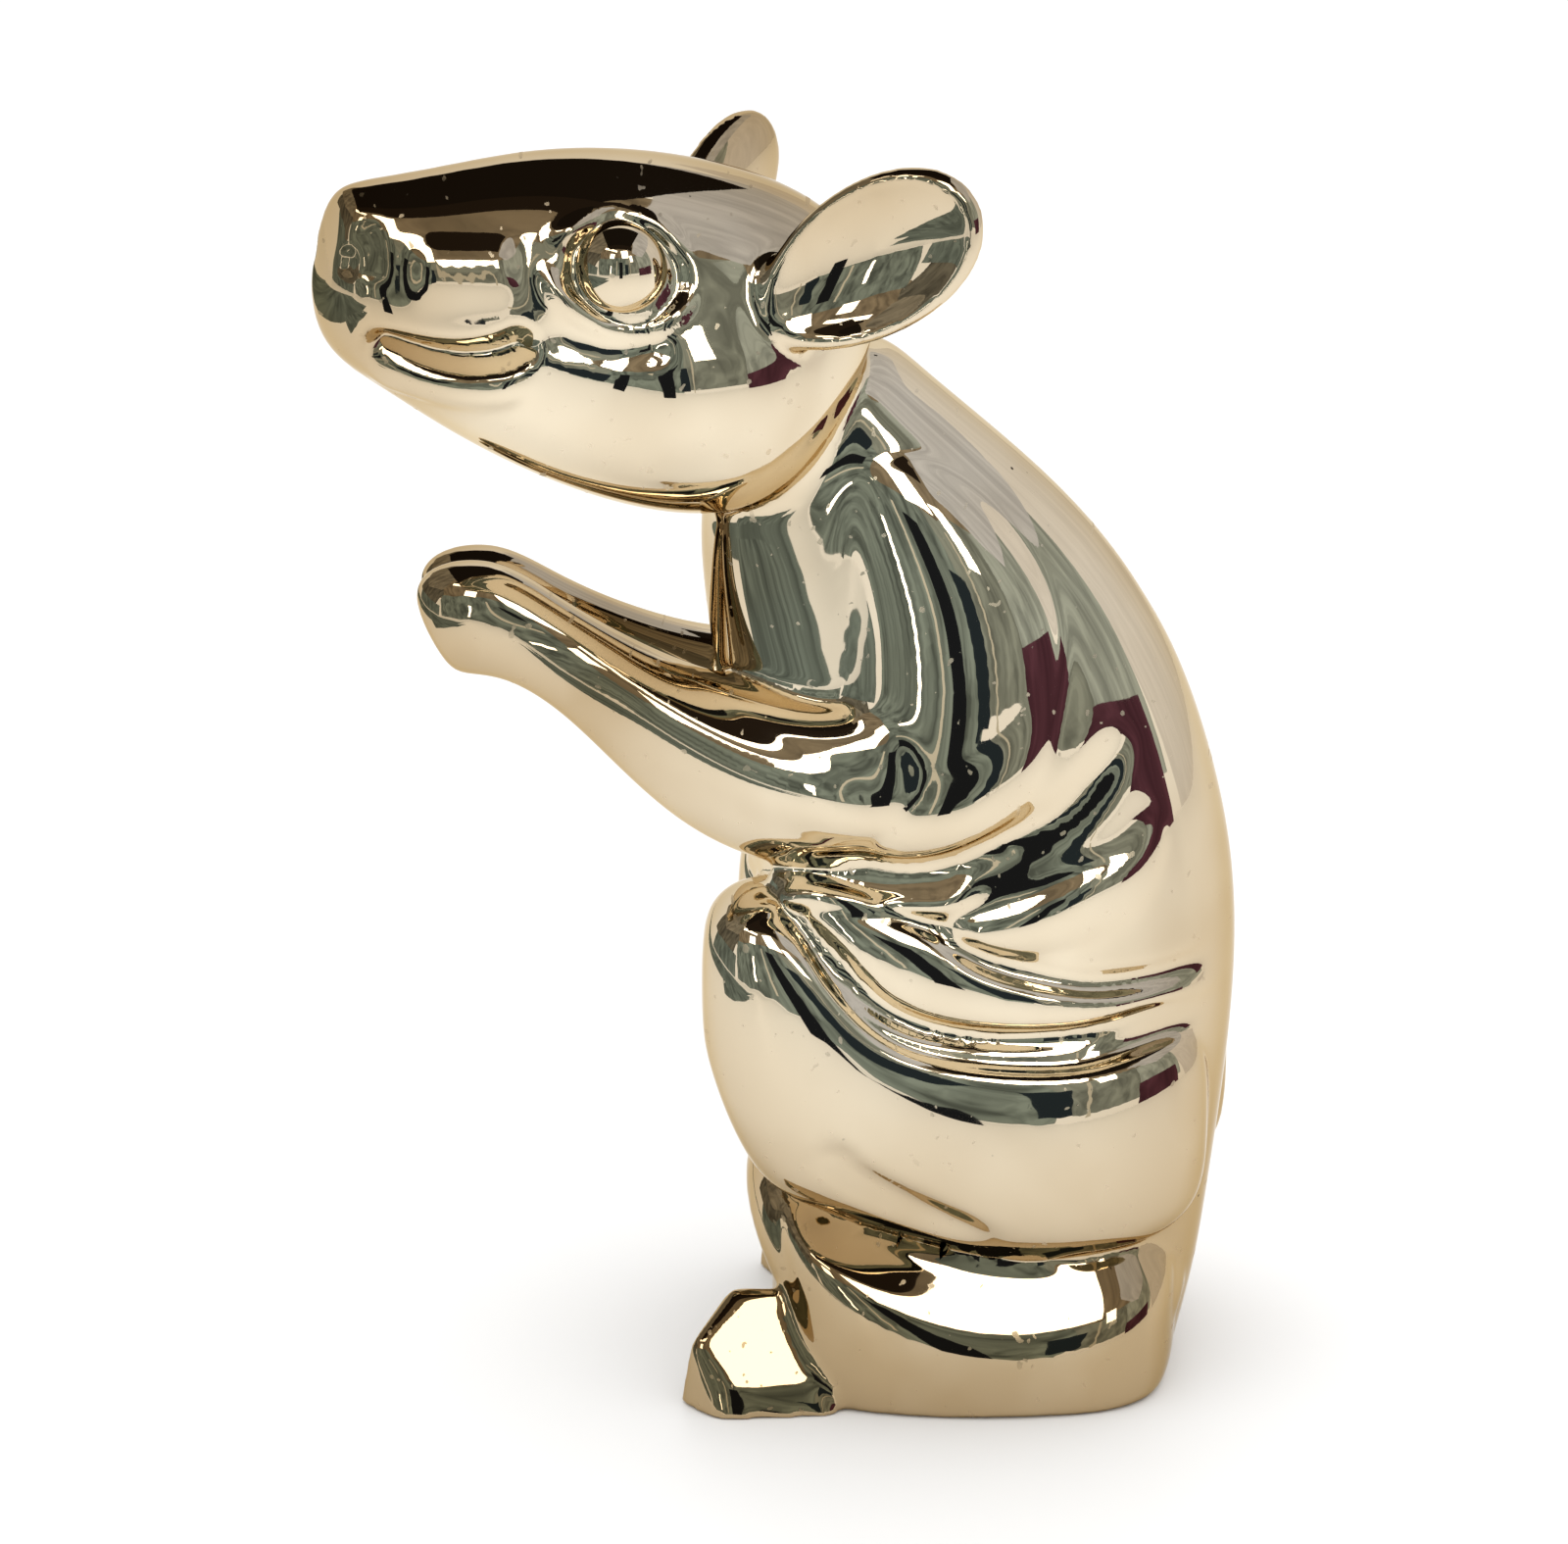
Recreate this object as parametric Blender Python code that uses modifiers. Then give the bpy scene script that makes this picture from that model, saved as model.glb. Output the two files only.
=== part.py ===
"""Rat figurine: a rat sitting up on its haunches, forepaws raised and joined, head turned left.

The real figure is one casting of clear crystal under a gold mirror film. Here it is divided
where its own modelling divides it, at the creases between torso, head, limbs and tail.
Frame: metres, +Z up, the rat faces -Y, its left side is +X, and the origin lies on the flat
underside at the middle of the base. The head has a frame of its own, turned about the neck.
"""
import math

import bmesh
import bpy
from mathutils import Matrix, Vector

for old in list(bpy.data.objects):
    bpy.data.objects.remove(old, do_unlink=True)

FIGURE_NAME = "rat_figurine"

# Clearance between two pieces that touch, and the depth to which a piece is seated
FIT_GAP = 0.0003

# Torso, one row for each cross-section from the base to the neck, read at the middle plane:
# back point (y, z), front point (y, z), half width
TORSO_SECTIONS = [
    (0.0206, -0.0060, -0.0186, -0.0060, 0.0196),
    (0.0226, 0.0030, -0.0192, 0.0030, 0.0196),
    (0.0243, 0.0095, -0.0195, 0.0095, 0.0168),
    (0.0254, 0.0180, -0.0200, 0.0170, 0.0164),
    (0.0268, 0.0300, -0.0210, 0.0280, 0.0186),
    (0.0278, 0.0420, -0.0218, 0.0390, 0.0190),
    (0.0274, 0.0545, -0.0228, 0.0500, 0.0190),
    (0.0246, 0.0665, -0.0240, 0.0590, 0.0186),
    (0.0203, 0.0785, -0.0258, 0.0675, 0.0172),
    (0.0123, 0.0903, -0.0272, 0.0760, 0.0150),
    (0.0029, 0.0990, -0.0284, 0.0840, 0.0131),
    (-0.0062, 0.1064, -0.0288, 0.0920, 0.0116),
    (-0.0120, 0.1120, -0.0270, 0.1010, 0.0102),
]

# Head, in its own frame: forward from the neck pivot, and height. One row for each section from
# the nose to the nape: top (forward, height), bottom (forward, height), half width, and how much
# narrower the section is at its top than at its middle
HEAD_TURN = math.radians(25.0)
HEAD_PIVOT_Y = -0.0140
HEAD_SECTIONS = [
    (0.0556, 0.1268, 0.0559, 0.1195, 0.0038, 0.00),
    (0.0551, 0.1285, 0.0555, 0.1154, 0.0056, 0.00),
    (0.0528, 0.1292, 0.0546, 0.1119, 0.0068, 0.05),
    (0.0465, 0.1296, 0.0498, 0.1086, 0.0080, 0.15),
    (0.0405, 0.1303, 0.0435, 0.1040, 0.0092, 0.20),
    (0.0345, 0.1309, 0.0365, 0.0998, 0.0110, 0.25),
    (0.0285, 0.1309, 0.0295, 0.0964, 0.0130, 0.28),
    (0.0215, 0.1302, 0.0220, 0.0938, 0.0146, 0.25),
    (0.0145, 0.1287, 0.0150, 0.0930, 0.0150, 0.18),
    (0.0080, 0.1266, 0.0095, 0.0948, 0.0142, 0.10),
    (0.0020, 0.1232, 0.0050, 0.0990, 0.0118, 0.00),
    (-0.0025, 0.1175, 0.0010, 0.1055, 0.0075, 0.00),
]

# Eyes: domes of this radius, so far forward in the head and above its middle line, with their
# centres sunk below the head's surface
EYE_RADIUS = 0.0047
EYE_FORWARD = 0.0283
EYE_RISE = 0.0062
EYE_SINK = 0.0024

# Ears: dished discs, rooted so far forward in the head and above its middle line, sunk below its
# surface. The axis runs from root to tip, and the face is where the dish looks. The tip is wider
# than the middle by the spread, and the root is as much narrower. The dish is centred above the
# middle of the ear by its lift and leaves the wall at its deepest place
EAR_FORWARD = 0.0153
EAR_RISE = 0.0033
EAR_SINK = 0.0012
EAR_AXIS = (-0.72, 0.42, 0.52)
EAR_FACE = (0.55, 0.82, 0.10)
EAR_LENGTH = 0.0250
EAR_WIDTH = 0.0150
EAR_TIP_SPREAD = 0.12
EAR_THICKNESS = 0.0076
EAR_RIM = 0.0017
EAR_DISH_LIFT = 0.0024
EAR_WALL = 0.0012

# Mouth groove along both sides of the muzzle, and the nostrils: (forward, side, height)
MOUTH_LINE = [
    (0.0556, 0.0000, 0.1143),
    (0.0544, 0.0042, 0.1138),
    (0.0500, 0.0066, 0.1120),
    (0.0440, 0.0084, 0.1102),
    (0.0396, 0.0096, 0.1106),
    (0.0376, 0.0100, 0.1128),
]
MOUTH_GROOVE_RADIUS = 0.0009
NOSTRIL_PLACE = (0.0550, 0.0048, 0.1228)
NOSTRIL_AXIS = (0.3, 0.3, -1.0)
NOSTRIL_FACE = (0.8, 0.6, 0.0)
NOSTRIL_LENGTH = 0.0036
NOSTRIL_WIDTH = 0.0016

# Forelegs, on the left side, one row for each section from the paw to the upper arm:
# centre (x, y, z), half width, half height. Then the shoulder over it, cut level from the elbow
# up: centre (x, y, z), half width, half depth
FORELEG_SECTIONS = [
    (0.0030, -0.0570, 0.0798, 0.0028, 0.0038),
    (0.0030, -0.0552, 0.0808, 0.0046, 0.0060),
    (0.0034, -0.0508, 0.0812, 0.0050, 0.0064),
    (0.0042, -0.0460, 0.0791, 0.0044, 0.0050),
    (0.0058, -0.0400, 0.0758, 0.0048, 0.0050),
    (0.0078, -0.0330, 0.0712, 0.0058, 0.0067),
    (0.0098, -0.0260, 0.0676, 0.0070, 0.0088),
    (0.0116, -0.0180, 0.0656, 0.0084, 0.0096),
    (0.0124, -0.0100, 0.0664, 0.0090, 0.0096),
    (0.0122, -0.0030, 0.0705, 0.0080, 0.0090),
]
SHOULDER_SECTIONS = [
    (0.0120, -0.0070, 0.0575, 0.0052, 0.0056),
    (0.0123, -0.0060, 0.0600, 0.0082, 0.0100),
    (0.0122, -0.0045, 0.0640, 0.0090, 0.0130),
    (0.0114, -0.0030, 0.0710, 0.0087, 0.0130),
    (0.0106, -0.0025, 0.0780, 0.0083, 0.0128),
    (0.0098, -0.0035, 0.0850, 0.0075, 0.0120),
    (0.0088, -0.0065, 0.0920, 0.0064, 0.0104),
    (0.0076, -0.0100, 0.0980, 0.0052, 0.0078),
    (0.0066, -0.0123, 0.1020, 0.0030, 0.0046),
]

# Haunches, on the left side, one upright section for each row from the knee back to the rump:
# centre (x, y, z), half width, half height. The right haunch and foot lie further back than the
# left ones by the set back
HAUNCH_SECTIONS = [
    (0.0125, -0.0286, 0.0445, 0.0040, 0.0050),
    (0.0126, -0.0276, 0.0440, 0.0066, 0.0086),
    (0.0126, -0.0254, 0.0418, 0.0092, 0.0126),
    (0.0124, -0.0220, 0.0392, 0.0104, 0.0162),
    (0.0122, -0.0165, 0.0360, 0.0113, 0.0156),
    (0.0120, -0.0100, 0.0318, 0.0118, 0.0132),
    (0.0120, -0.0030, 0.0291, 0.0120, 0.0124),
    (0.0120, 0.0040, 0.0279, 0.0120, 0.0124),
    (0.0116, 0.0110, 0.0279, 0.0116, 0.0124),
    (0.0108, 0.0175, 0.0285, 0.0102, 0.0124),
    (0.0096, 0.0220, 0.0290, 0.0080, 0.0110),
    (0.0086, 0.0246, 0.0292, 0.0050, 0.0070),
]
HAUNCH_SQUARENESS = 0.66
RIGHT_HAUNCH_SET_BACK = 0.0035

# Flank folds, on the left side: a skin fold from the knee round to the back, then the fuller flank
# over it, in upright sections. Each row is centre (x, y, z), half width, half height
FOLD_SECTIONS = [
    (0.0120, -0.0216, 0.0564, 0.0020, 0.0018),
    (0.0142, -0.0175, 0.0544, 0.0036, 0.0032),
    (0.0156, -0.0130, 0.0498, 0.0046, 0.0054),
    (0.0166, -0.0050, 0.0460, 0.0050, 0.0066),
    (0.0166, 0.0015, 0.0446, 0.0048, 0.0050),
    (0.0164, 0.0080, 0.0437, 0.0046, 0.0036),
    (0.0144, 0.0160, 0.0433, 0.0040, 0.0026),
    (0.0096, 0.0226, 0.0438, 0.0032, 0.0022),
    (0.0020, 0.0262, 0.0430, 0.0018, 0.0016),
]
FLANK_SECTIONS = [
    (0.0125, -0.0060, 0.0510, 0.0066, 0.0032),
    (0.0120, -0.0010, 0.0515, 0.0082, 0.0046),
    (0.0118, 0.0040, 0.0526, 0.0088, 0.0066),
    (0.0110, 0.0090, 0.0542, 0.0090, 0.0088),
    (0.0100, 0.0140, 0.0556, 0.0084, 0.0104),
    (0.0080, 0.0190, 0.0570, 0.0072, 0.0110),
    (0.0050, 0.0226, 0.0580, 0.0044, 0.0090),
]

# Hind feet, on the left side: a squared block of toes, each row a corner of its sloping top and
# the corner of the sole under it (x, y, z). The sole's corners lie below the ground and are cut
# off flat
FOOT_CORNERS = [
    ((0.0154, -0.0256, 0.0122), (0.0080, -0.0270, -0.0020)),
    ((0.0156, -0.0208, 0.0122), (0.0080, -0.0120, -0.0020)),
    ((0.0194, -0.0154, 0.0066), (0.0190, -0.0120, -0.0020)),
    ((0.0214, -0.0162, 0.0030), (0.0238, -0.0140, -0.0020)),
    ((0.0229, -0.0260, 0.0026), (0.0246, -0.0276, -0.0020)),
    ((0.0202, -0.0302, 0.0074), (0.0186, -0.0314, -0.0020)),
]
FOOT_EDGE_WIDTH = 0.0011
FOOT_EDGE_SEGMENTS = 2
RIGHT_FOOT_SET_BACK = 0.0080

# Tail: a round band from the rump round the left side of the base, over the left instep:
# centre (x, y, z) and radius. Then the coil's thick root, which spreads over the left side of the
# base: centre (x, y, z), half width, half depth and rise. Its sections lie level at the lowest
# place and curve upwards before and behind it: the rise is the height gained per squared distance
TAIL_SECTIONS = [
    (0.0020, 0.0190, 0.0120, 0.0040),
    (0.0085, 0.0188, 0.0095, 0.0044),
    (0.0148, 0.0150, 0.0048, 0.0048),
    (0.0170, 0.0080, 0.0024, 0.0046),
    (0.0176, 0.0000, 0.0020, 0.0044),
    (0.0176, -0.0075, 0.0030, 0.0044),
    (0.0166, -0.0132, 0.0074, 0.0044),
    (0.0134, -0.0172, 0.0132, 0.0044),
    (0.0075, -0.0196, 0.0172, 0.0042),
    (0.0000, -0.0203, 0.0187, 0.0040),
    (-0.0075, -0.0201, 0.0182, 0.0038),
    (-0.0135, -0.0188, 0.0165, 0.0033),
]
TAIL_ROOT_LOWEST_Y = 0.0040
TAIL_ROOT_SECTIONS = [
    (0.0060, 0.0002, -0.0060, 0.0172, 0.0208, 0.0),
    (0.0060, 0.0002, 0.0034, 0.0176, 0.0212, 8.0),
    (0.0060, 0.0002, 0.0060, 0.0174, 0.0211, 20.0),
    (0.0060, 0.0002, 0.0080, 0.0164, 0.0206, 19.0),
    (0.0060, 0.0004, 0.0112, 0.0140, 0.0193, 16.0),
    (0.0060, 0.0006, 0.0146, 0.0116, 0.0178, 12.5),
    (0.0060, 0.0008, 0.0176, 0.0086, 0.0152, 8.0),
]
TAIL_ROOT_SQUARENESS = 0.62

# Points closer together than this along a cut edge become one, and an edge that turns by more
# than the crease angle is left sharp
CUT_EDGE_MERGE = 0.000005
CREASE_ANGLE = math.radians(40.0)

# Cutting blocks reach this far, well clear of the figure
REACH = 0.3

# Gilding: the gold mirror film over the whole casting
GOLD_COLOUR = (0.80, 0.68, 0.48, 1.0)
GOLD_ROUGHNESS = 0.03

# Corners around a section of a body mass, of a limb and of a small groove or fold
BODY_SIDES = 16
LIMB_SIDES = 12
SMALL_SIDES = 8
SMOOTHING_LEVEL = 1

# Sections are ovals at 1.0 and grow square as this falls
OVAL = 1.0
BODY_SQUARENESS = 0.88

# Directions along which parallel sections are measured
ACROSS = Vector((1.0, 0.0, 0.0))
BACKWARD = Vector((0.0, 1.0, 0.0))
UPWARD = Vector((0.0, 0.0, 1.0))

# Segments round and rows along an ear, an eye and a nostril
EAR_FACETS = (20, 12)
EYE_FACETS = (16, 10)
NOSTRIL_FACETS = (12, 8)


def collection(name):
    """Make a collection in the scene."""
    made = bpy.data.collections.new(name)
    bpy.context.scene.collection.children.link(made)
    return made


parts = collection(FIGURE_NAME)
cutters = collection(FIGURE_NAME + "_cutters")


def gilding(name):
    """The gold mirror film of one piece."""
    material = bpy.data.materials.new(name + "_gilding")
    material.use_nodes = True
    shader = material.node_tree.nodes["Principled BSDF"]
    shader.inputs["Base Color"].default_value = GOLD_COLOUR
    shader.inputs["Metallic"].default_value = 1.0
    shader.inputs["Roughness"].default_value = GOLD_ROUGHNESS
    return material


def piece(name, mesh_maker):
    """Add one named piece, its mesh filled by mesh_maker, smoothed and gilded."""
    body = bmesh.new()
    mesh_maker(body)
    bmesh.ops.recalc_face_normals(body, faces=body.faces)
    mesh = bpy.data.meshes.new(name)
    body.to_mesh(mesh)
    body.free()
    mesh.shade_smooth()
    made = bpy.data.objects.new(name, mesh)
    parts.objects.link(made)
    made.data.materials.append(gilding(name))
    return made


def smooth(made, level=SMOOTHING_LEVEL):
    """Round a coarse cage off with subdivision."""
    modifier = made.modifiers.new("smoothing", "SUBSURF")
    modifier.levels = level
    modifier.render_levels = level
    return made


def as_cutter(made):
    """Show a cutter as a wire and leave it out of the figure."""
    made.hide_render = True
    made.display_type = "WIRE"
    return made


def cut(made, cutter):
    """Take the cutter's space out of a piece."""
    modifier = made.modifiers.new("clear_of_" + cutter.name, "BOOLEAN")
    modifier.operation = "DIFFERENCE"
    modifier.solver = "EXACT"
    modifier.object = cutter


def clearance_of(made):
    """A cutter with a piece's whole form, grown by the fit gap."""
    grown = bpy.data.objects.new(made.name + "_clearance", made.data.copy())
    cutters.objects.link(grown)
    for source in made.modifiers:
        if source.type == "SUBSURF":
            smooth(grown, source.levels)
    swell = grown.modifiers.new("fit_gap", "DISPLACE")
    swell.strength = FIT_GAP
    swell.mid_level = 0.0
    return as_cutter(grown)


def ring(sides, centre, across, upward, half_width, half_height, taper=0.0, squareness=OVAL):
    """Corners of one cross-section: an oval, narrower towards its top by the taper.

    Smoothing draws such a ring in, so its corners lie further out by the swell.
    """
    swell = 3.0 / (2.0 + math.cos(2.0 * math.pi / sides))
    corners = []
    for step in range(sides):
        angle = 2.0 * math.pi * step / sides
        side = math.copysign(abs(math.cos(angle)) ** squareness, math.cos(angle))
        rise = math.copysign(abs(math.sin(angle)) ** squareness, math.sin(angle))
        side *= half_width * swell * (1.0 - taper * rise)
        rise *= half_height * swell
        corners.append(centre + across * side + upward * rise)
    return corners


def loft(body, rings):
    """Skin a run of cross-sections and close both ends."""
    rows = [[body.verts.new(corner) for corner in corners] for corners in rings]
    for near, far in zip(rows, rows[1:]):
        for step in range(len(near)):
            following = (step + 1) % len(near)
            body.faces.new((near[step], near[following], far[following], far[step]))
    body.faces.new(reversed(rows[0]))
    body.faces.new(rows[-1])


def swept_rings(sides, points, half_widths, half_heights):
    """Cross-sections square to a path, upright as far as the path allows."""
    rings = []
    for place, point in enumerate(points):
        before = points[max(place - 1, 0)]
        after = points[min(place + 1, len(points) - 1)]
        along = (after - before).normalized()
        across = along.cross(UPWARD).normalized()
        upward = across.cross(along).normalized()
        size = (half_widths[place], half_heights[place])
        rings.append(ring(sides, point, across, upward, *size))
    return rings


def sweep_mesh(sections, side):
    """A limb or fold along its rows, on the left side (1) or the right (-1)."""
    def fill(body):
        points = [Vector((side * x, y, z)) for x, y, z, _, _ in sections]
        half_widths = [row[3] for row in sections]
        half_heights = [row[4] for row in sections]
        loft(body, swept_rings(LIMB_SIDES, points, half_widths, half_heights))
    return fill


def stack_mesh(sections, side, upward, set_back=0.0, squareness=OVAL):
    """A form in parallel sections, whose rows give their half sizes across and along upward."""
    def fill(body):
        rings = []
        for x, y, z, half_width, half_height in sections:
            centre = Vector((side * x, y + set_back, z))
            rings.append(ring(LIMB_SIDES, centre, ACROSS, upward,
                              half_width, half_height, squareness=squareness))
        loft(body, rings)
    return fill


def head_point(forward, side, height):
    """A place in the head's frame, in the figure's frame."""
    x = forward * math.sin(HEAD_TURN) + side * math.cos(HEAD_TURN)
    y = HEAD_PIVOT_Y - forward * math.cos(HEAD_TURN) + side * math.sin(HEAD_TURN)
    return Vector((x, y, height))


def head_direction(forward, side, height):
    """A direction in the head's frame, in the figure's frame."""
    return (head_point(forward, side, height) - head_point(0.0, 0.0, 0.0)).normalized()


def head_side(forward, rise):
    """Half width and height of the head at a place along it, so far above its middle line."""
    rows = []
    for top_forward, top_height, low_forward, low_height, half_width, taper in HEAD_SECTIONS:
        rows.append(((top_forward + low_forward) / 2.0, (top_height + low_height) / 2.0,
                     (top_height - low_height) / 2.0, half_width, taper))
    before, after = next(pair for pair in zip(rows, rows[1:]) if pair[1][0] <= forward)
    blend = (before[0] - forward) / (before[0] - after[0])
    middle, half_height, half_width, taper = (
        near + (far - near) * blend for near, far in zip(before[1:], after[1:]))
    share = rise / half_height
    out = half_width * math.sqrt(1.0 - share ** 2) * (1.0 - taper * share)
    return out, middle + rise


def ellipsoid(body, frame, sizes, facets):
    """A sphere primitive stretched to three half sizes and placed by a frame."""
    segments, rows = facets
    scale = Matrix.Diagonal((*sizes, 1.0))
    bmesh.ops.create_uvsphere(
        body, u_segments=segments, v_segments=rows, radius=1.0, matrix=frame @ scale
    )


def frame_at(place, first, second, third):
    """A placing matrix from a point and three directions."""
    matrix = Matrix((first, second, third)).transposed().to_4x4()
    matrix.translation = place
    return matrix


def torso_mesh(body):
    rings = []
    for back_y, back_z, front_y, front_z, half_width in TORSO_SECTIONS:
        back = Vector((0.0, back_y, back_z))
        front = Vector((0.0, front_y, front_z))
        upward = (back - front).normalized()
        half_depth = (back - front).length / 2.0
        rings.append(ring(BODY_SIDES, (back + front) / 2.0, ACROSS, upward,
                          half_width, half_depth, squareness=BODY_SQUARENESS))
    loft(body, rings)


def head_mesh(body):
    rings = []
    across = head_direction(0.0, 1.0, 0.0)
    for top_forward, top_height, low_forward, low_height, half_width, taper in HEAD_SECTIONS:
        top = head_point(top_forward, 0.0, top_height)
        low = head_point(low_forward, 0.0, low_height)
        upward = (top - low).normalized()
        half_height = (top - low).length / 2.0
        rings.append(ring(BODY_SIDES, (top + low) / 2.0, across, upward,
                          half_width, half_height, taper, BODY_SQUARENESS))
    loft(body, rings)


def eye_mesh(side):
    def fill(body):
        out, height = head_side(EYE_FORWARD, EYE_RISE)
        place = head_point(EYE_FORWARD, side * (out - EYE_SINK), height)
        ellipsoid(body, Matrix.Translation(place), (EYE_RADIUS,) * 3, EYE_FACETS)
    return fill


def ear_frame(side, lift):
    """Frame of an ear at its middle: along it, across it, and out of its face by the lift."""
    out, height = head_side(EAR_FORWARD, EAR_RISE)
    root = head_point(EAR_FORWARD, side * (out - EAR_SINK), height)
    along = head_direction(EAR_AXIS[0], side * EAR_AXIS[1], EAR_AXIS[2])
    face = head_direction(EAR_FACE[0], side * EAR_FACE[1], EAR_FACE[2])
    across = face.cross(along).normalized()
    face = along.cross(across).normalized()
    place = root + along * EAR_LENGTH / 2.0 + face * lift
    return frame_at(place, along, across, face)


def spread_tip(body, frame):
    """Widen an ear towards its tip and narrow it towards its root."""
    to_ear = frame.inverted()
    for vert in body.verts:
        along, across, out = to_ear @ vert.co
        across *= 1.0 + EAR_TIP_SPREAD * along / (EAR_LENGTH / 2.0)
        vert.co = frame @ Vector((along, across, out))


def ear_mesh(side):
    def fill(body):
        sizes = (EAR_LENGTH / 2.0, EAR_WIDTH / 2.0, EAR_THICKNESS / 2.0)
        ellipsoid(body, ear_frame(side, 0.0), sizes, EAR_FACETS)
        spread_tip(body, ear_frame(side, 0.0))
    return fill


def ear_dish_mesh(side):
    def fill(body):
        half_depth = EAR_DISH_LIFT + EAR_THICKNESS / 2.0 - EAR_WALL
        sizes = (EAR_LENGTH / 2.0 - EAR_RIM, EAR_WIDTH / 2.0 - EAR_RIM, half_depth)
        ellipsoid(body, ear_frame(side, EAR_DISH_LIFT), sizes, EAR_FACETS)
        spread_tip(body, ear_frame(side, EAR_DISH_LIFT))
    return fill


def nostril_mesh(side):
    def fill(body):
        forward, out, height = NOSTRIL_PLACE
        along = head_direction(NOSTRIL_AXIS[0], side * NOSTRIL_AXIS[1], NOSTRIL_AXIS[2])
        face = head_direction(NOSTRIL_FACE[0], side * NOSTRIL_FACE[1], NOSTRIL_FACE[2])
        across = face.cross(along).normalized()
        face = along.cross(across).normalized()
        place = head_point(forward, side * out, height)
        sizes = (NOSTRIL_LENGTH / 2.0, NOSTRIL_WIDTH / 2.0, NOSTRIL_WIDTH / 2.0)
        ellipsoid(body, frame_at(place, along, across, face), sizes, NOSTRIL_FACETS)
    return fill


def mouth_mesh(body):
    left = [head_point(*place) for place in MOUTH_LINE[1:]]
    right = [head_point(forward, -out, height) for forward, out, height in MOUTH_LINE[1:]]
    line = list(reversed(right)) + [head_point(*MOUTH_LINE[0])] + left
    radii = [MOUTH_GROOVE_RADIUS] * len(line)
    loft(body, swept_rings(SMALL_SIDES, line, radii, radii))


def foot_mesh(side, set_back):
    def fill(body):
        tops = []
        soles = []
        for top, sole in FOOT_CORNERS:
            tops.append(body.verts.new((side * top[0], top[1] + set_back, top[2])))
            soles.append(body.verts.new((side * sole[0], sole[1] + set_back, sole[2])))
        body.faces.new(tops)
        body.faces.new(reversed(soles))
        for corner in range(len(tops)):
            following = (corner + 1) % len(tops)
            body.faces.new((tops[corner], soles[corner], soles[following], tops[following]))
    return fill


def tail_mesh(body):
    points = [Vector((x, y, z)) for x, y, z, _ in TAIL_SECTIONS]
    radii = [row[3] for row in TAIL_SECTIONS]
    loft(body, swept_rings(LIMB_SIDES, points, radii, radii))


def tail_root_mesh(body):
    rings = []
    for x, y, z, half_width, half_depth, rise in TAIL_ROOT_SECTIONS:
        level = ring(LIMB_SIDES, Vector((x, y, z)), ACROSS, BACKWARD,
                     half_width, half_depth, squareness=TAIL_ROOT_SQUARENESS)
        rings.append([corner + UPWARD * rise * (corner.y - TAIL_ROOT_LOWEST_Y) ** 2
                      for corner in level])
    loft(body, rings)


def cutter(name, mesh_maker):
    """Add one cutter, its mesh filled by mesh_maker."""
    made = piece(name, mesh_maker)
    parts.objects.unlink(made)
    cutters.objects.link(made)
    return as_cutter(made)


def block_mesh(low, high):
    """A box between two corners."""
    def fill(body):
        middle = (Vector(low) + Vector(high)) / 2.0
        sizes = Vector(high) - Vector(low)
        block = Matrix.Translation(middle) @ Matrix.Diagonal((*sizes, 1.0))
        bmesh.ops.create_cube(body, size=1.0, matrix=block)
    return fill


def join(made, other):
    """Make one piece of two rounded forms."""
    modifier = made.modifiers.new("join", "BOOLEAN")
    modifier.operation = "UNION"
    modifier.solver = "EXACT"
    modifier.object = other
    settle(made)
    bpy.data.objects.remove(other, do_unlink=True)
    return made


def ease_edges(made, width, segments):
    """Round the edges of a squared piece."""
    modifier = made.modifiers.new("eased_edges", "BEVEL")
    modifier.width = width
    modifier.segments = segments
    return made


def settle(made):
    """Give a piece its finished mesh, with its cut edges sharp."""
    bpy.context.view_layer.update()
    evaluated = made.evaluated_get(bpy.context.evaluated_depsgraph_get())
    mesh = bpy.data.meshes.new_from_object(evaluated)
    body = bmesh.new()
    body.from_mesh(mesh)
    bmesh.ops.remove_doubles(body, verts=body.verts, dist=CUT_EDGE_MERGE)
    bmesh.ops.dissolve_degenerate(body, edges=body.edges, dist=CUT_EDGE_MERGE)
    body.to_mesh(mesh)
    body.free()
    made.modifiers.clear()
    made.data = mesh
    mesh.shade_smooth()
    mesh.set_sharp_from_angle(angle=CREASE_ANGLE)


ground = cutter("below_the_base", block_mesh((-REACH, -REACH, -REACH), (REACH, REACH, 0.0)))

torso = smooth(piece("torso", torso_mesh))
torso_space = clearance_of(torso)
cut(torso, ground)

head = smooth(piece("head", head_mesh))
head_space = clearance_of(head)
cut(head, torso_space)
cut(head, smooth(cutter("mouth_groove", mouth_mesh)))

tail = smooth(piece("tail", tail_mesh))
join(tail, smooth(piece("tail_root", tail_root_mesh)))
tail_space = clearance_of(tail)
cut(tail, torso_space)
cut(tail, ground)

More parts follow.
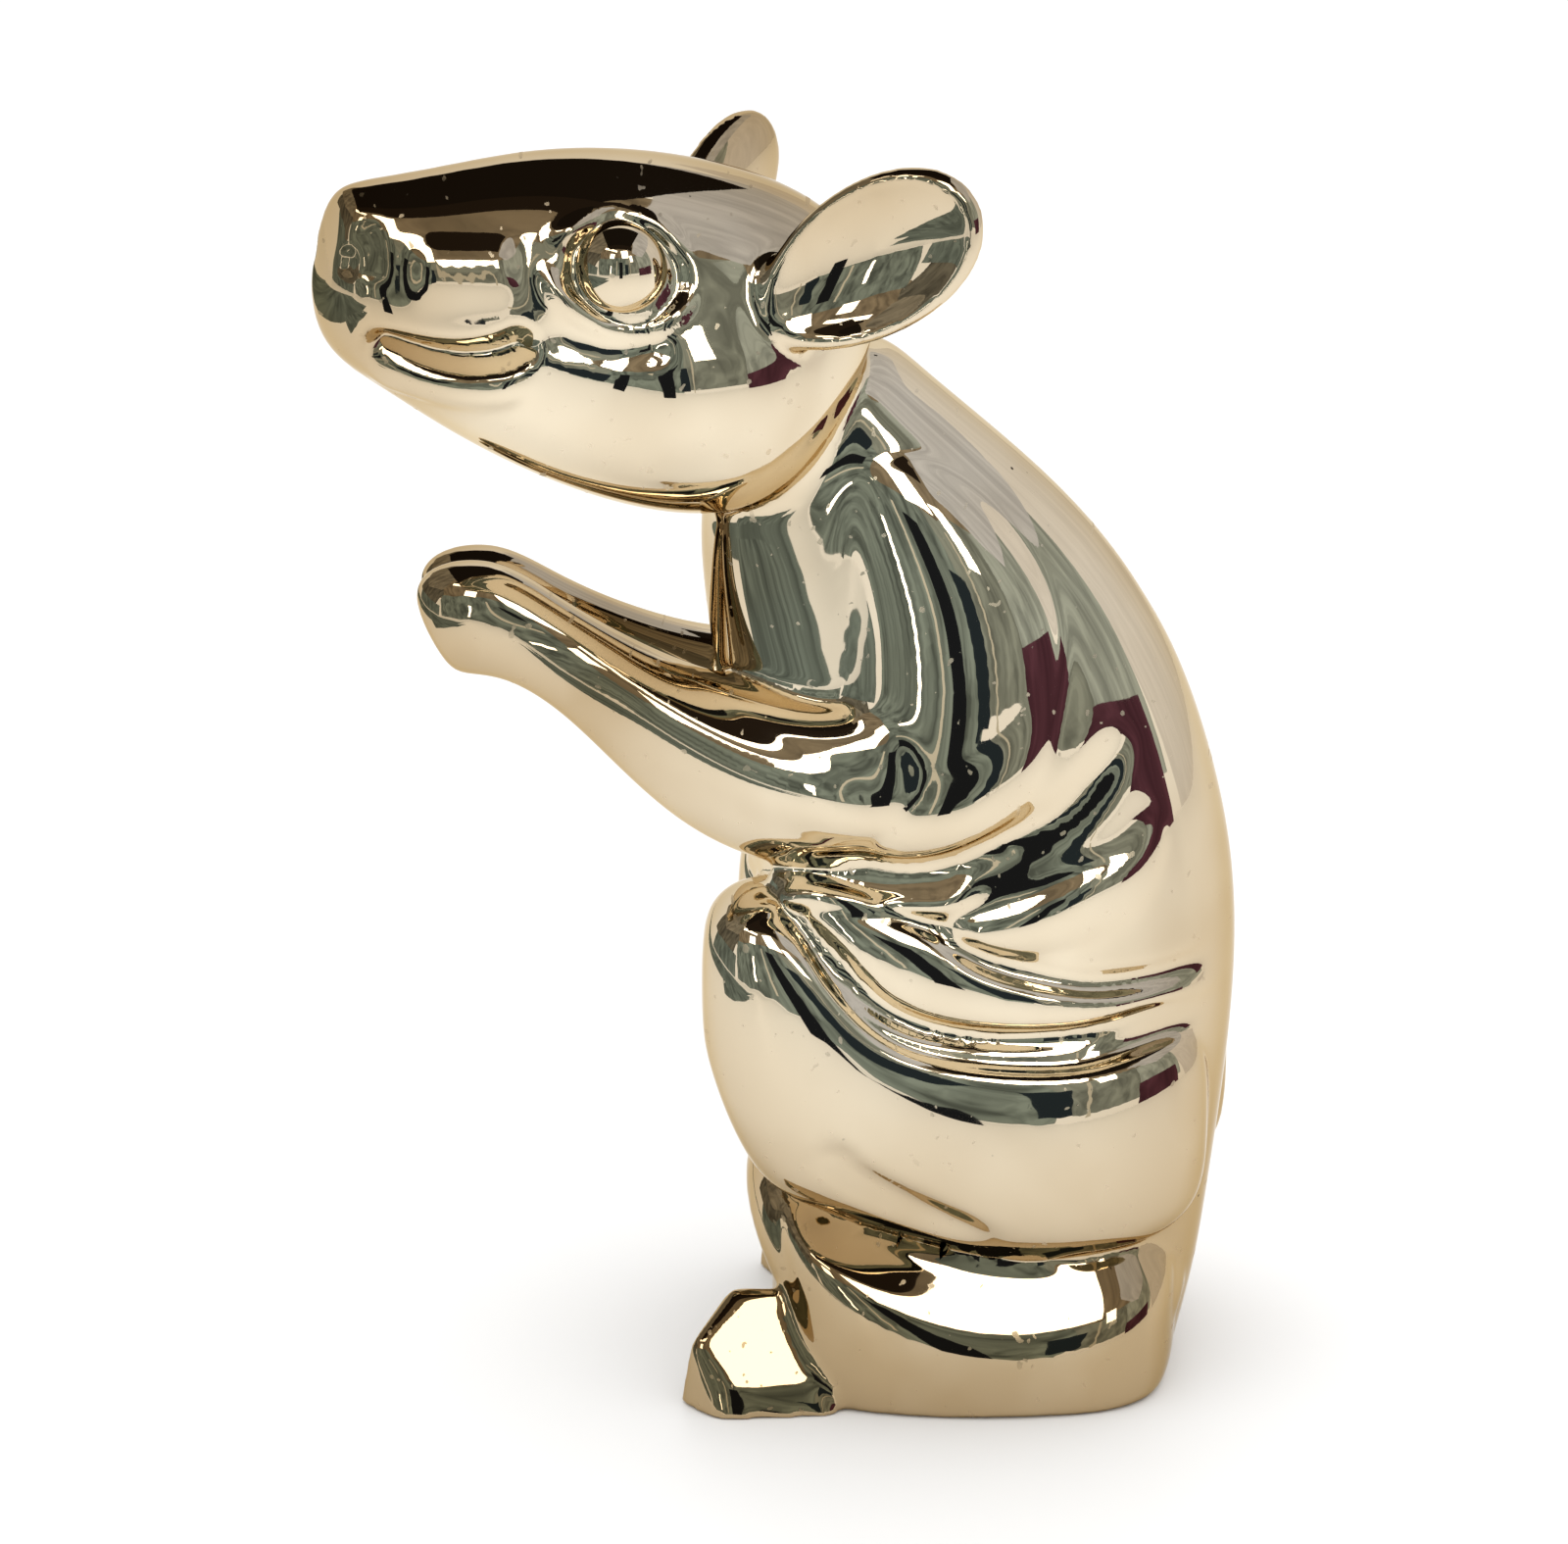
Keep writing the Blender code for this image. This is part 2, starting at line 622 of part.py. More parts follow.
for name, side in (("left", 1.0), ("right", -1.0)):
    eye = piece(name + "_eye", eye_mesh(side))
    cut(head, clearance_of(eye))
    cut(head, cutter(name + "_nostril", nostril_mesh(side)))

    ear = piece(name + "_ear", ear_mesh(side))
    cut(ear, cutter(name + "_ear_dish", ear_dish_mesh(side)))
    cut(ear, head_space)

    low_x, high_x = sorted((-side * REACH, side * FIT_GAP / 2.0))
    other_half = block_mesh((low_x, -REACH, -REACH), (high_x, REACH, REACH))
    other_side = cutter("past_middle_from_" + name, other_half)

    foreleg = smooth(piece(name + "_foreleg", sweep_mesh(FORELEG_SECTIONS, side)))
    shoulder = smooth(piece(name + "_shoulder", stack_mesh(SHOULDER_SECTIONS, side, BACKWARD)))
    join(foreleg, shoulder)
    foreleg_space = clearance_of(foreleg)
    cut(foreleg, torso_space)
    cut(foreleg, other_side)

    set_back = 0.0 if side > 0.0 else RIGHT_HAUNCH_SET_BACK
    haunch = smooth(piece(name + "_haunch", stack_mesh(
        HAUNCH_SECTIONS, side, UPWARD, set_back, HAUNCH_SQUARENESS)))
    haunch_space = clearance_of(haunch)
    cut(haunch, torso_space)
    cut(tail, haunch_space)

    fold = smooth(piece(name + "_flank_fold", sweep_mesh(FOLD_SECTIONS, side)))
    flank = smooth(piece(name + "_flank", stack_mesh(FLANK_SECTIONS, side, UPWARD)))
    join(fold, flank)
    cut(fold, torso_space)
    cut(fold, haunch_space)
    cut(fold, foreleg_space)
    cut(fold, other_side)

    set_back = 0.0 if side > 0.0 else RIGHT_FOOT_SET_BACK
    foot = ease_edges(piece(name + "_hind_foot", foot_mesh(side, set_back)),
                      FOOT_EDGE_WIDTH, FOOT_EDGE_SEGMENTS)
    cut(foot, torso_space)
    cut(foot, haunch_space)
    cut(foot, tail_space)
    cut(foot, ground)

for made in list(parts.objects):
    settle(made)
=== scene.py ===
"""Looks of the rat figurine: a rat sitting up, cast in clear crystal under a gold mirror film.

The figure is one casting, so it gets one unbroken skin. Each mass is modelled by itself, in the
order in which a modeller would build the clay original. The masses are then merged, their joins
are rubbed over, the creases and ridges are worked in, and the finished skin is parted along the
seats of the masses, so that each node of the part gets its own piece.
Frame as in the part: the rat faces -Y, its left side is +X, +Z is up. Lists are in millimetres.
"""

import math

import bmesh
import bpy
import numpy as np
from mathutils import Euler, Matrix, Vector


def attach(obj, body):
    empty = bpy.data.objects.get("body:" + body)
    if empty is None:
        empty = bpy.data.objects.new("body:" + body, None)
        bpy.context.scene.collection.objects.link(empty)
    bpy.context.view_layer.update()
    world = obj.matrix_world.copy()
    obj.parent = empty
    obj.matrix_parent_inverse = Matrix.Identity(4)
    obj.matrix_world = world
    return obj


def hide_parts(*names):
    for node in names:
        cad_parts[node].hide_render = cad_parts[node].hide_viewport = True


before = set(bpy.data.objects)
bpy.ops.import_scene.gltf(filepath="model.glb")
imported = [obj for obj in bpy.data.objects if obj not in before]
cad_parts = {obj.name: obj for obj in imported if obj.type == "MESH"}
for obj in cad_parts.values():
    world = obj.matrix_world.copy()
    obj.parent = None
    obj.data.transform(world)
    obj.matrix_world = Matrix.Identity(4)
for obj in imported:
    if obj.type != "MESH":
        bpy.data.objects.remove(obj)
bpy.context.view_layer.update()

# Camera: hand held, half a metre from the figure and above it, looking down at its left side.
MM = 0.001
CAMERA_PLACE = (480.0, -20.0, 205.0)
CAMERA_PITCH = math.radians(90.0 - 16.45)
CAMERA_TURN = math.radians(90.0)
CAMERA_LENS = 109.6
CAMERA_SENSOR = 36.0

camera_data = bpy.data.cameras.new("camera")
camera_data.lens = CAMERA_LENS
camera_data.sensor_width = CAMERA_SENSOR
camera = bpy.data.objects.new("camera", camera_data)
camera.location = Vector(CAMERA_PLACE) * MM
camera.rotation_euler = (CAMERA_PITCH, 0.0, CAMERA_TURN)
bpy.context.scene.collection.objects.link(camera)
bpy.context.scene.camera = camera

# Torso: the trunk of the casting, solid crystal under the film, from the flat base that the
# figure stands on up to the neck. A run of oval sections is bridged and rounded off. Rows are
# back (y, z), front (y, z) and half width.
TORSO_ROWS = [
    (20.6, -6.0, -18.6, -6.0, 19.6),
    (22.6, 3.0, -19.2, 3.0, 19.6),
    (24.3, 9.5, -19.5, 9.5, 16.8),
    (25.4, 18.0, -20.0, 17.0, 16.4),
    (26.8, 30.0, -21.0, 28.0, 18.6),
    (27.8, 42.0, -21.8, 39.0, 19.0),
    (27.4, 54.5, -22.8, 50.0, 19.0),
    (24.6, 66.5, -24.0, 59.0, 18.6),
    (20.3, 78.5, -25.8, 67.5, 17.2),
    (12.3, 90.3, -27.2, 76.0, 15.0),
    (2.9, 99.0, -28.4, 84.0, 13.1),
    (-6.2, 106.4, -28.8, 92.0, 11.6),
    (-12.0, 112.0, -27.0, 101.0, 10.2),
]
TRUNK_CORNERS = 16
TRUNK_SQUARENESS = 0.88
ROUNDING = 3
SADDLE_Y = 4.0
masses = []
owners = []


def press_to_oval(mass, turn, place, half_width, half_height, corners, squareness, taper,
                  rise=0.0):
    """Press the newest circle of a mass into its oval, a little large, as rounding draws it in.

    A taper narrows its high side. A rise curls it up in front of the saddle and behind it."""
    shape = bmesh.from_edit_mesh(mass.data)
    shape.verts.ensure_lookup_table()
    swell = 3.0 / (2.0 + math.cos(2.0 * math.pi / corners))
    upright = turn.to_matrix()
    for vert in shape.verts[-corners:]:
        x, y, _ = upright.transposed() @ (vert.co / MM - place)
        wide = math.copysign(abs(x) ** squareness, x)
        high = math.copysign(abs(y) ** squareness, y)
        flat = Vector((wide * half_width * (1.0 - taper * high), high * half_height, 0.0))
        corner = place + upright @ flat * swell
        corner.z += rise * (corner.y - SADDLE_Y) ** 2
        vert.co = corner * MM
    bmesh.update_edit_mesh(mass.data)


def select_last(mass, count):
    """Select only the newest vertices of the mass being edited."""
    shape = bmesh.from_edit_mesh(mass.data)
    for vert in shape.verts:
        vert.select_set(vert.index >= len(shape.verts) - count)
    shape.select_flush(True)
    bmesh.update_edit_mesh(mass.data)


def skin_sections(owner, sections, corners, squareness=1.0):
    """Bridge a run of sections into one mass of the piece that owns it.

    A section is its place, turn, half width, half height and taper, and its rise if it has one."""
    bpy.ops.object.select_all(action="DESELECT")
    mass = None
    for place, turn, half_width, half_height, *form in sections:
        bpy.ops.mesh.primitive_circle_add(
            vertices=corners, radius=MM, location=place * MM, rotation=turn)
        if mass is None:
            mass = bpy.context.object
            mass.name = owner + "_mass"
            bpy.ops.object.transform_apply(location=True, rotation=True, scale=True)
            bpy.ops.object.mode_set(mode="EDIT")
            bpy.ops.mesh.select_mode(type="VERT")
            press_to_oval(mass, turn, place, half_width, half_height, corners, squareness, *form)
            bpy.ops.mesh.select_all(action="SELECT")
            bpy.ops.mesh.edge_face_add()
        else:
            press_to_oval(mass, turn, place, half_width, half_height, corners, squareness, *form)
            select_last(mass, 2 * corners)
            bpy.ops.mesh.bridge_edge_loops()
    select_last(mass, corners)
    bpy.ops.mesh.edge_face_add()
    bpy.ops.mesh.select_all(action="SELECT")
    bpy.ops.mesh.normals_make_consistent(inside=False)
    bpy.ops.object.mode_set(mode="OBJECT")
    rounding = mass.modifiers.new("rounding", "SUBSURF")
    rounding.levels = ROUNDING
    rounding.render_levels = ROUNDING
    bpy.ops.object.modifier_apply(modifier="rounding")
    masses.append(mass)
    owners.append(owner)


torso_sections = []
for back_y, back_z, front_y, front_z, half_width in TORSO_ROWS:
    lean = math.atan2(back_z - front_z, back_y - front_y)
    half_depth = math.hypot(back_z - front_z, back_y - front_y) / 2.0
    middle = Vector((0.0, (back_y + front_y) / 2.0, (back_z + front_z) / 2.0))
    torso_sections.append((middle, Euler((lean, 0.0, 0.0)), half_width, half_depth, 0.0))
skin_sections("torso", torso_sections, TRUNK_CORNERS, TRUNK_SQUARENESS)

# Flank folds: rolls of skin on the rat's sides, cast in one with the trunk. A broad roll fills
# the flank, and a narrow one runs from the knee round to the back. Rows are (x, y, z, half width,
# half height) on the left side, and the right side is the same.
LIMB_CORNERS = 12
UPRIGHT = Euler((math.radians(90.0), 0.0, 0.0))
LEFT = 1.0
RIGHT = -1.0
BOTH_SIDES = ((LEFT, "left"), (RIGHT, "right"))
FLANK_ROWS = [
    (12.5, -6.0, 51.0, 6.6, 3.2),
    (12.0, -1.0, 51.5, 8.2, 4.6),
    (11.8, 4.0, 52.6, 8.8, 6.6),
    (11.0, 9.0, 54.2, 9.0, 8.8),
    (10.0, 14.0, 55.6, 8.4, 10.4),
    (8.0, 19.0, 57.0, 7.2, 11.0),
    (5.0, 22.6, 58.0, 4.4, 9.0),
]
FOLD_ROWS = [
    (12.0, -21.6, 56.4, 2.0, 1.8),
    (14.2, -17.5, 54.4, 3.6, 3.2),
    (15.6, -13.0, 49.8, 4.6, 5.4),
    (16.6, -5.0, 46.0, 5.0, 6.6),
    (16.6, 1.5, 44.6, 4.8, 5.0),
    (16.4, 8.0, 43.7, 4.6, 3.6),
    (14.4, 16.0, 43.3, 4.0, 2.6),
    (9.6, 22.6, 43.8, 3.2, 2.2),
    (2.0, 26.2, 43.0, 1.8, 1.6),
]


def sweep(owner, rows, side, set_back=0.0, squareness=1.0, turn=None):
    """Skin a mass along a line of rows, on the left side or mirrored on the right.

    Its sections stand square to the line, or all at one turn."""
    places = [Vector((side * row[0], row[1] + set_back, row[2])) for row in rows]
    sections = []
    for index, place in enumerate(places):
        before = places[max(index - 1, 0)]
        after = places[min(index + 1, len(places) - 1)]
        across = turn or (after - before).to_track_quat("Z", "Y").to_euler()
        sections.append((place, across, rows[index][3], rows[index][4], 0.0, *rows[index][5:]))
    skin_sections(owner, sections, LIMB_CORNERS, squareness)


for side, name in BOTH_SIDES:
    sweep(name + "_flank_fold", FLANK_ROWS, side, turn=UPRIGHT)
    sweep(name + "_flank_fold", FOLD_ROWS, side)

# Forelegs: shoulder, arm and paw, cast in one with the trunk. The paws are raised and joined
# before the chest. The arm's sections stand square to its line, and the shoulder's lie level.
LEVEL = Euler((0.0, 0.0, 0.0))
FORELEG_ROWS = [
    (3.0, -57.0, 79.8, 2.8, 3.8),
    (3.0, -55.2, 80.8, 4.6, 6.0),
    (3.4, -50.8, 81.2, 5.0, 6.4),
    (4.2, -46.0, 79.1, 4.4, 5.0),
    (5.8, -40.0, 75.8, 4.8, 5.0),
    (7.8, -33.0, 71.2, 5.8, 6.7),
    (9.8, -26.0, 67.6, 7.0, 8.8),
    (11.6, -18.0, 65.6, 8.4, 9.6),
    (12.4, -10.0, 66.4, 9.0, 9.6),
    (12.2, -3.0, 70.5, 8.0, 9.0),
]
SHOULDER_ROWS = [
    (12.0, -7.0, 57.5, 5.2, 5.6),
    (12.3, -6.0, 60.0, 8.2, 10.0),
    (12.2, -4.5, 64.0, 9.0, 13.0),
    (11.4, -3.0, 71.0, 8.7, 13.0),
    (10.6, -2.5, 78.0, 8.3, 12.8),
    (9.8, -3.5, 85.0, 7.5, 12.0),
    (8.8, -6.5, 92.0, 6.4, 10.4),
    (7.6, -10.0, 98.0, 5.2, 7.8),
    (6.6, -12.3, 102.0, 3.0, 4.6),
]
for side, name in BOTH_SIDES:
    sweep(name + "_foreleg", FORELEG_ROWS, side)
    sweep(name + "_foreleg", SHOULDER_ROWS, side, turn=LEVEL)

# Haunches: the big thighs with the knees drawn up, cast in one with the trunk. They are squared
# forms of upright sections, and the right one sits a little further back.
HAUNCH_SQUARENESS = 0.66
RIGHT_HAUNCH_BACK = 3.5
HAUNCH_ROWS = [
    (12.5, -28.6, 44.5, 4.0, 5.0),
    (12.6, -27.6, 44.0, 6.6, 8.6),
    (12.6, -25.4, 41.8, 9.2, 12.6),
    (12.4, -22.0, 39.2, 10.4, 16.2),
    (12.2, -16.5, 36.0, 11.3, 15.6),
    (12.0, -10.0, 31.8, 11.8, 13.2),
    (12.0, -3.0, 29.1, 12.0, 12.4),
    (12.0, 4.0, 27.9, 12.0, 12.4),
    (11.6, 11.0, 27.9, 11.6, 12.4),
    (10.8, 17.5, 28.5, 10.2, 12.4),
    (9.6, 22.0, 29.0, 8.0, 11.0),
    (8.6, 24.6, 29.2, 5.0, 7.0),
]
sweep("left_haunch", HAUNCH_ROWS, LEFT, 0.0, HAUNCH_SQUARENESS, UPRIGHT)
sweep("right_haunch", HAUNCH_ROWS, RIGHT, RIGHT_HAUNCH_BACK, HAUNCH_SQUARENESS, UPRIGHT)

# Tail: cast in one with the base. Its root spreads over the rump in level sections, which the
# last value of a row curls up in front and behind. From it a rounded band runs round the base
# on the left side and in front over the instep.
TAIL_ROOT_SQUARENESS = 0.62
TAIL_ROOT_ROWS = [
    (6.0, 0.2, -6.0, 17.2, 20.8, 0.0),
    (6.0, 0.2, 3.4, 17.6, 21.2, 0.008),
    (6.0, 0.2, 6.0, 17.4, 21.1, 0.020),
    (6.0, 0.2, 8.0, 16.4, 20.6, 0.019),
    (6.0, 0.4, 11.2, 14.0, 19.3, 0.016),
    (6.0, 0.6, 14.6, 11.6, 17.8, 0.0125),
    (6.0, 0.8, 17.6, 8.6, 15.2, 0.008),
]
TAIL_ROWS = [
    (2.0, 19.0, 12.0, 4.0, 4.0),
    (8.5, 18.8, 9.5, 4.4, 4.4),
    (14.8, 15.0, 4.8, 4.8, 4.8),
    (17.0, 8.0, 2.4, 4.6, 4.6),
    (17.6, 0.0, 2.0, 4.4, 4.4),
    (17.6, -7.5, 3.0, 4.4, 4.4),
    (16.6, -13.2, 7.4, 4.4, 4.4),
    (13.4, -17.2, 13.2, 4.4, 4.4),
    (7.5, -19.6, 17.2, 4.2, 4.2),
    (0.0, -20.3, 18.7, 4.0, 4.0),
    (-7.5, -20.1, 18.2, 3.8, 3.8),
    (-13.5, -18.8, 16.5, 3.3, 3.3),
]
sweep("tail", TAIL_ROWS, LEFT)
sweep("tail", TAIL_ROOT_ROWS, LEFT, squareness=TAIL_ROOT_SQUARENESS, turn=LEVEL)

# Hind feet: a squared block of toes under each instep, cast in one with the base. Its top is a
# flat facet that slopes forward and outward. Rows are a corner of the facet and the corner of
# the sole under it, on the left side.
RIGHT_FOOT_BACK = 8.0
TOE_EDGE = 1.1
TOE_EDGE_STEPS = 4
FOOT_CORNERS = [
    ((15.4, -25.6, 12.2), (8.0, -27.0, -2.0)),
    ((15.6, -20.8, 12.2), (8.0, -12.0, -2.0)),
    ((19.4, -15.4, 6.6), (19.0, -12.0, -2.0)),
    ((21.4, -16.2, 3.0), (23.8, -14.0, -2.0)),
    ((22.9, -26.0, 2.6), (24.6, -27.6, -2.0)),
    ((20.2, -30.2, 7.4), (18.6, -31.4, -2.0)),
]


def foot(owner, side, set_back):
    """A toe block between its top facet and its sole, with softened edges."""
    bpy.ops.object.select_all(action="DESELECT")
    bpy.ops.mesh.primitive_circle_add(vertices=len(FOOT_CORNERS), radius=MM, fill_type="NGON")
    block = bpy.context.object
    block.name = owner + "_mass"
    bpy.ops.object.mode_set(mode="EDIT")
    bpy.ops.mesh.select_all(action="SELECT")
    bpy.ops.mesh.extrude_region_move(TRANSFORM_OT_translate={"value": (0.0, 0.0, MM)})
    bpy.ops.object.mode_set(mode="OBJECT")
    for vert in block.data.vertices:
        index = vert.index % len(FOOT_CORNERS)
        facet, sole = FOOT_CORNERS[index]
        x, y, z = facet if vert.index >= len(FOOT_CORNERS) else sole
        vert.co = Vector((side * x, y + set_back, z)) * MM
    bpy.ops.object.mode_set(mode="EDIT")
    bpy.ops.mesh.select_all(action="SELECT")
    bpy.ops.mesh.normals_make_consistent(inside=False)
    bpy.ops.object.mode_set(mode="OBJECT")
    edges = block.modifiers.new("soft_edges", "BEVEL")
    edges.width = TOE_EDGE * MM
    edges.segments = TOE_EDGE_STEPS
    bpy.ops.object.modifier_apply(modifier="soft_edges")
    masses.append(block)
    owners.append(owner)


foot("left_hind_foot", LEFT, 0.0)
foot("right_hind_foot", RIGHT, RIGHT_FOOT_BACK)

# Head: skull, cheeks and muzzle, cast in one with the neck. It is modelled as if it looked
# straight ahead and is turned to the left about the neck pivot, with the ears and eyes. Rows
# are top (forward, z), bottom (forward, z), half width and taper.
HEAD_TURN = math.radians(25.0)
HEAD_PIVOT = Vector((0.0, -14.0, 0.0))
HEAD_ROWS = [
    (54.7, 126.9, 56.5, 118.6, 3.0, 0.10),
    (54.0, 128.5, 56.0, 115.0, 4.9, 0.15),
    (52.2, 129.2, 54.6, 111.9, 6.8, 0.20),
    (46.5, 129.6, 49.8, 108.6, 8.0, 0.22),
    (40.5, 130.3, 43.5, 104.0, 9.3, 0.24),
    (34.5, 130.9, 36.5, 99.8, 11.0, 0.25),
    (28.5, 130.9, 29.5, 96.4, 13.0, 0.28),
    (21.5, 130.2, 22.0, 93.8, 14.6, 0.25),
    (14.5, 128.7, 15.0, 93.0, 15.0, 0.18),
    (8.0, 126.6, 9.5, 94.8, 14.2, 0.10),
    (2.0, 123.2, 5.0, 99.0, 11.8, 0.00),
    (-2.5, 117.5, 1.0, 105.5, 7.5, 0.00),
]


def head_point(forward, side, height):
    """A place in the head's own frame, in the figure's frame."""
    x = forward * math.sin(HEAD_TURN) + side * math.cos(HEAD_TURN)
    y = HEAD_PIVOT.y - forward * math.cos(HEAD_TURN) + side * math.sin(HEAD_TURN)
    return Vector((x, y, height))


def head_direction(forward, side, height):
    """A direction in the head's own frame, in the figure's frame."""
    return (head_point(forward, side, height) - head_point(0.0, 0.0, 0.0)).normalized()


head_sections = []
for top_forward, top_z, low_forward, low_z, half_width, taper in HEAD_ROWS:
    lean = math.atan2(top_z - low_z, low_forward - top_forward)
    half_height = math.hypot(top_z - low_z, low_forward - top_forward) / 2.0
    middle = head_point((top_forward + low_forward) / 2.0, 0.0, (top_z + low_z) / 2.0)
    head_sections.append((middle, Euler((lean, 0.0, HEAD_TURN)), half_width, half_height, taper))
skin_sections("head", head_sections, TRUNK_CORNERS, TRUNK_SQUARENESS)

# Ears: oval leaves on the sides of the skull, cast in one with the head, with a hollow dish in
# front. Each is an oval blank, a little wider at its tip, and a larger, plumper oval cuts out
# its dish. Places and directions are (forward, side, up) in the head's own frame.
EAR_ROOT = (15.3, 13.0, 114.1)
EAR_AXIS = (-0.72, 0.42, 0.52)
EAR_FACE = (0.55, 0.82, 0.10)
EAR_LENGTH = 25.0
EAR_WIDTH = 15.0
EAR_THICKNESS = 6.6
EAR_TIP_SPREAD = 0.12
DISH_LIFT = 6.0
DISH_OVERHANG = 1.0
DISH_PLUMPNESS = 2.25
EAR_SEGMENTS = 48
EAR_RINGS = 32


def ear_blank(name, side, lift, overhang, plumpness):
    """An oval blank for an ear or its dish, wider towards the tip."""
    along = head_direction(EAR_AXIS[0], side * EAR_AXIS[1], EAR_AXIS[2])
    face = head_direction(EAR_FACE[0], side * EAR_FACE[1], EAR_FACE[2])
    across = face.cross(along).normalized()
    face = along.cross(across).normalized()
    middle = head_point(EAR_ROOT[0], side * EAR_ROOT[1], EAR_ROOT[2])
    middle = middle + along * EAR_LENGTH / 2.0 + face * lift
    bpy.ops.object.select_all(action="DESELECT")
    bpy.ops.mesh.primitive_uv_sphere_add(segments=EAR_SEGMENTS, ring_count=EAR_RINGS, radius=1.0)
    blank = bpy.context.object
    blank.name = name
    turn = Matrix((along, across, face)).transposed()
    for vert in blank.data.vertices:
        u, v, w = vert.co
        v *= 1.0 + EAR_TIP_SPREAD * u
        sizes = Vector((u * (EAR_LENGTH / 2.0 + overhang), v * (EAR_WIDTH / 2.0 + overhang),
                        w * EAR_THICKNESS / 2.0 * plumpness))
        vert.co = (middle + turn @ sizes) * MM
    bpy.ops.object.mode_set(mode="EDIT")
    bpy.ops.mesh.select_all(action="SELECT")
    bpy.ops.mesh.normals_make_consistent(inside=False)
    bpy.ops.object.mode_set(mode="OBJECT")
    return blank


for side, name in BOTH_SIDES:
    dish = ear_blank(name + "_ear_dish", side, DISH_LIFT, DISH_OVERHANG, DISH_PLUMPNESS)
    ear = ear_blank(name + "_ear_mass", side, lift=0.0, overhang=0.0, plumpness=1.0)
    hollow = ear.modifiers.new("dish", "BOOLEAN")
    hollow.operation = "DIFFERENCE"
    hollow.object = dish
    bpy.ops.object.modifier_apply(modifier="dish")
    bpy.data.objects.remove(dish, do_unlink=True)
    masses.append(ear)
    owners.append(name + "_ear")

# Casting: the masses are merged into one body with a flat underside, as the mould makes it, and
# the body is fettled smooth. The pattern keeps the masses as they were, each face with its owner,
# for the parting of the skin.
VOXEL = 0.38
SMOOTH_FACTOR = 0.5
FETTLING_ROUNDS = 20
PIECES = sorted(set(owners))
for mass, owner in zip(masses, owners):
    bpy.ops.object.select_all(action="DESELECT")
    mass.select_set(True)
    bpy.context.view_layer.objects.active = mass
    lowest = min(vert.co.z for vert in mass.data.vertices)
    if lowest < 0.0:
        bpy.ops.object.mode_set(mode="EDIT")
        bpy.ops.mesh.select_all(action="SELECT")
        bpy.ops.mesh.bisect(plane_co=(0.0, 0.0, 0.0), plane_no=(0.0, 0.0, 1.0), use_fill=True,
                            clear_inner=True)
        bpy.ops.object.mode_set(mode="OBJECT")
    owned = mass.data.attributes.new("owner", "INT", "FACE")
    owned.data.foreach_set("value", [PIECES.index(owner)] * len(mass.data.polygons))
bpy.ops.object.select_all(action="DESELECT")
for mass in masses:
    mass.select_set(True)
pattern = masses[0]
bpy.context.view_layer.objects.active = pattern
bpy.ops.object.join()
pattern.name = "pattern"
bpy.ops.object.duplicate()
casting = bpy.context.object
casting.name = "casting"


def work(casting, kind, **settings):
    """Run one modifier over the casting and apply it."""
    modifier = casting.modifiers.new("work", kind)
    for name, value in settings.items():
        setattr(modifier, name, value)
    bpy.ops.object.modifier_apply(modifier="work")


work(casting, "REMESH", mode="VOXEL", voxel_size=VOXEL * MM)
work(casting, "SMOOTH", factor=SMOOTH_FACTOR, iterations=FETTLING_ROUNDS)

# Joins: where one mass runs into the next the clay is rubbed over, widely at the neck and the
# shoulders and more closely lower down. Places are (x, y, z) at the neck, (forward, side, z) of
# the head at the ear, and (y, z) seen square from the side elsewhere.
PATH_STEPS = 6
NO_FADE = (0.0, 0.0)
SIDE_REACH = 60.0
NECK_JOIN = [(12.2, -16.0, 96.2), (13.1, -15.0, 90.4), (14.1, -13.6, 84.5)]
SHOULDER_JOIN = [(17.0, 82.0), (18.0, 74.0)]
ARMPIT_JOIN = [(-12.0, 73.0), (-8.0, 76.0), (-4.0, 74.0)]
EAR_JOIN = [(12.0, 13.0, 117.0), (12.0, 13.0, 119.0)]
INSTEP_JOIN = [(-14.0, 12.0), (0.0, 10.0), (12.0, 9.0), (18.0, 11.0)]


def reach_weights(casting, path, radius, fade):
    """How near each vertex is to a path of places: 1 on it, falling smoothly to 0 at the radius.

    The stroke also fades over a share of its length at its start and its end."""
    spots = np.empty(len(casting.data.vertices) * 3)
    casting.data.vertices.foreach_get("co", spots)
    spots = spots.reshape(-1, 3) / MM
    points = np.array([tuple(place) for place in path])
    near = np.all((spots > points.min(0) - radius) & (spots < points.max(0) + radius), axis=1)
    picked = np.nonzero(near)[0]
    nearest = np.full(len(picked), np.inf)
    along = np.zeros(len(picked))
    travelled = 0.0
    for start, end in zip(points, points[1:]):
        run = end - start
        length = np.linalg.norm(run)
        share = np.clip((spots[picked] - start) @ run / max(run @ run, 1e-9), 0.0, 1.0)
        gaps = np.linalg.norm(spots[picked] - start - share[:, None] * run, axis=1)
        closer = gaps < nearest
        nearest[closer] = gaps[closer]
        along[closer] = travelled + share[closer] * length
        travelled += length
    inside = nearest < radius
    weights = 0.5 + 0.5 * np.cos(np.pi * nearest[inside] / radius)
    for share, place in zip(fade, (along[inside] / travelled, 1.0 - along[inside] / travelled)):
        if share > 0.0:
            rise = np.clip(place / share, 0.0, 1.0)
            weights *= rise * rise * (3.0 - 2.0 * rise)
    return picked[inside], weights


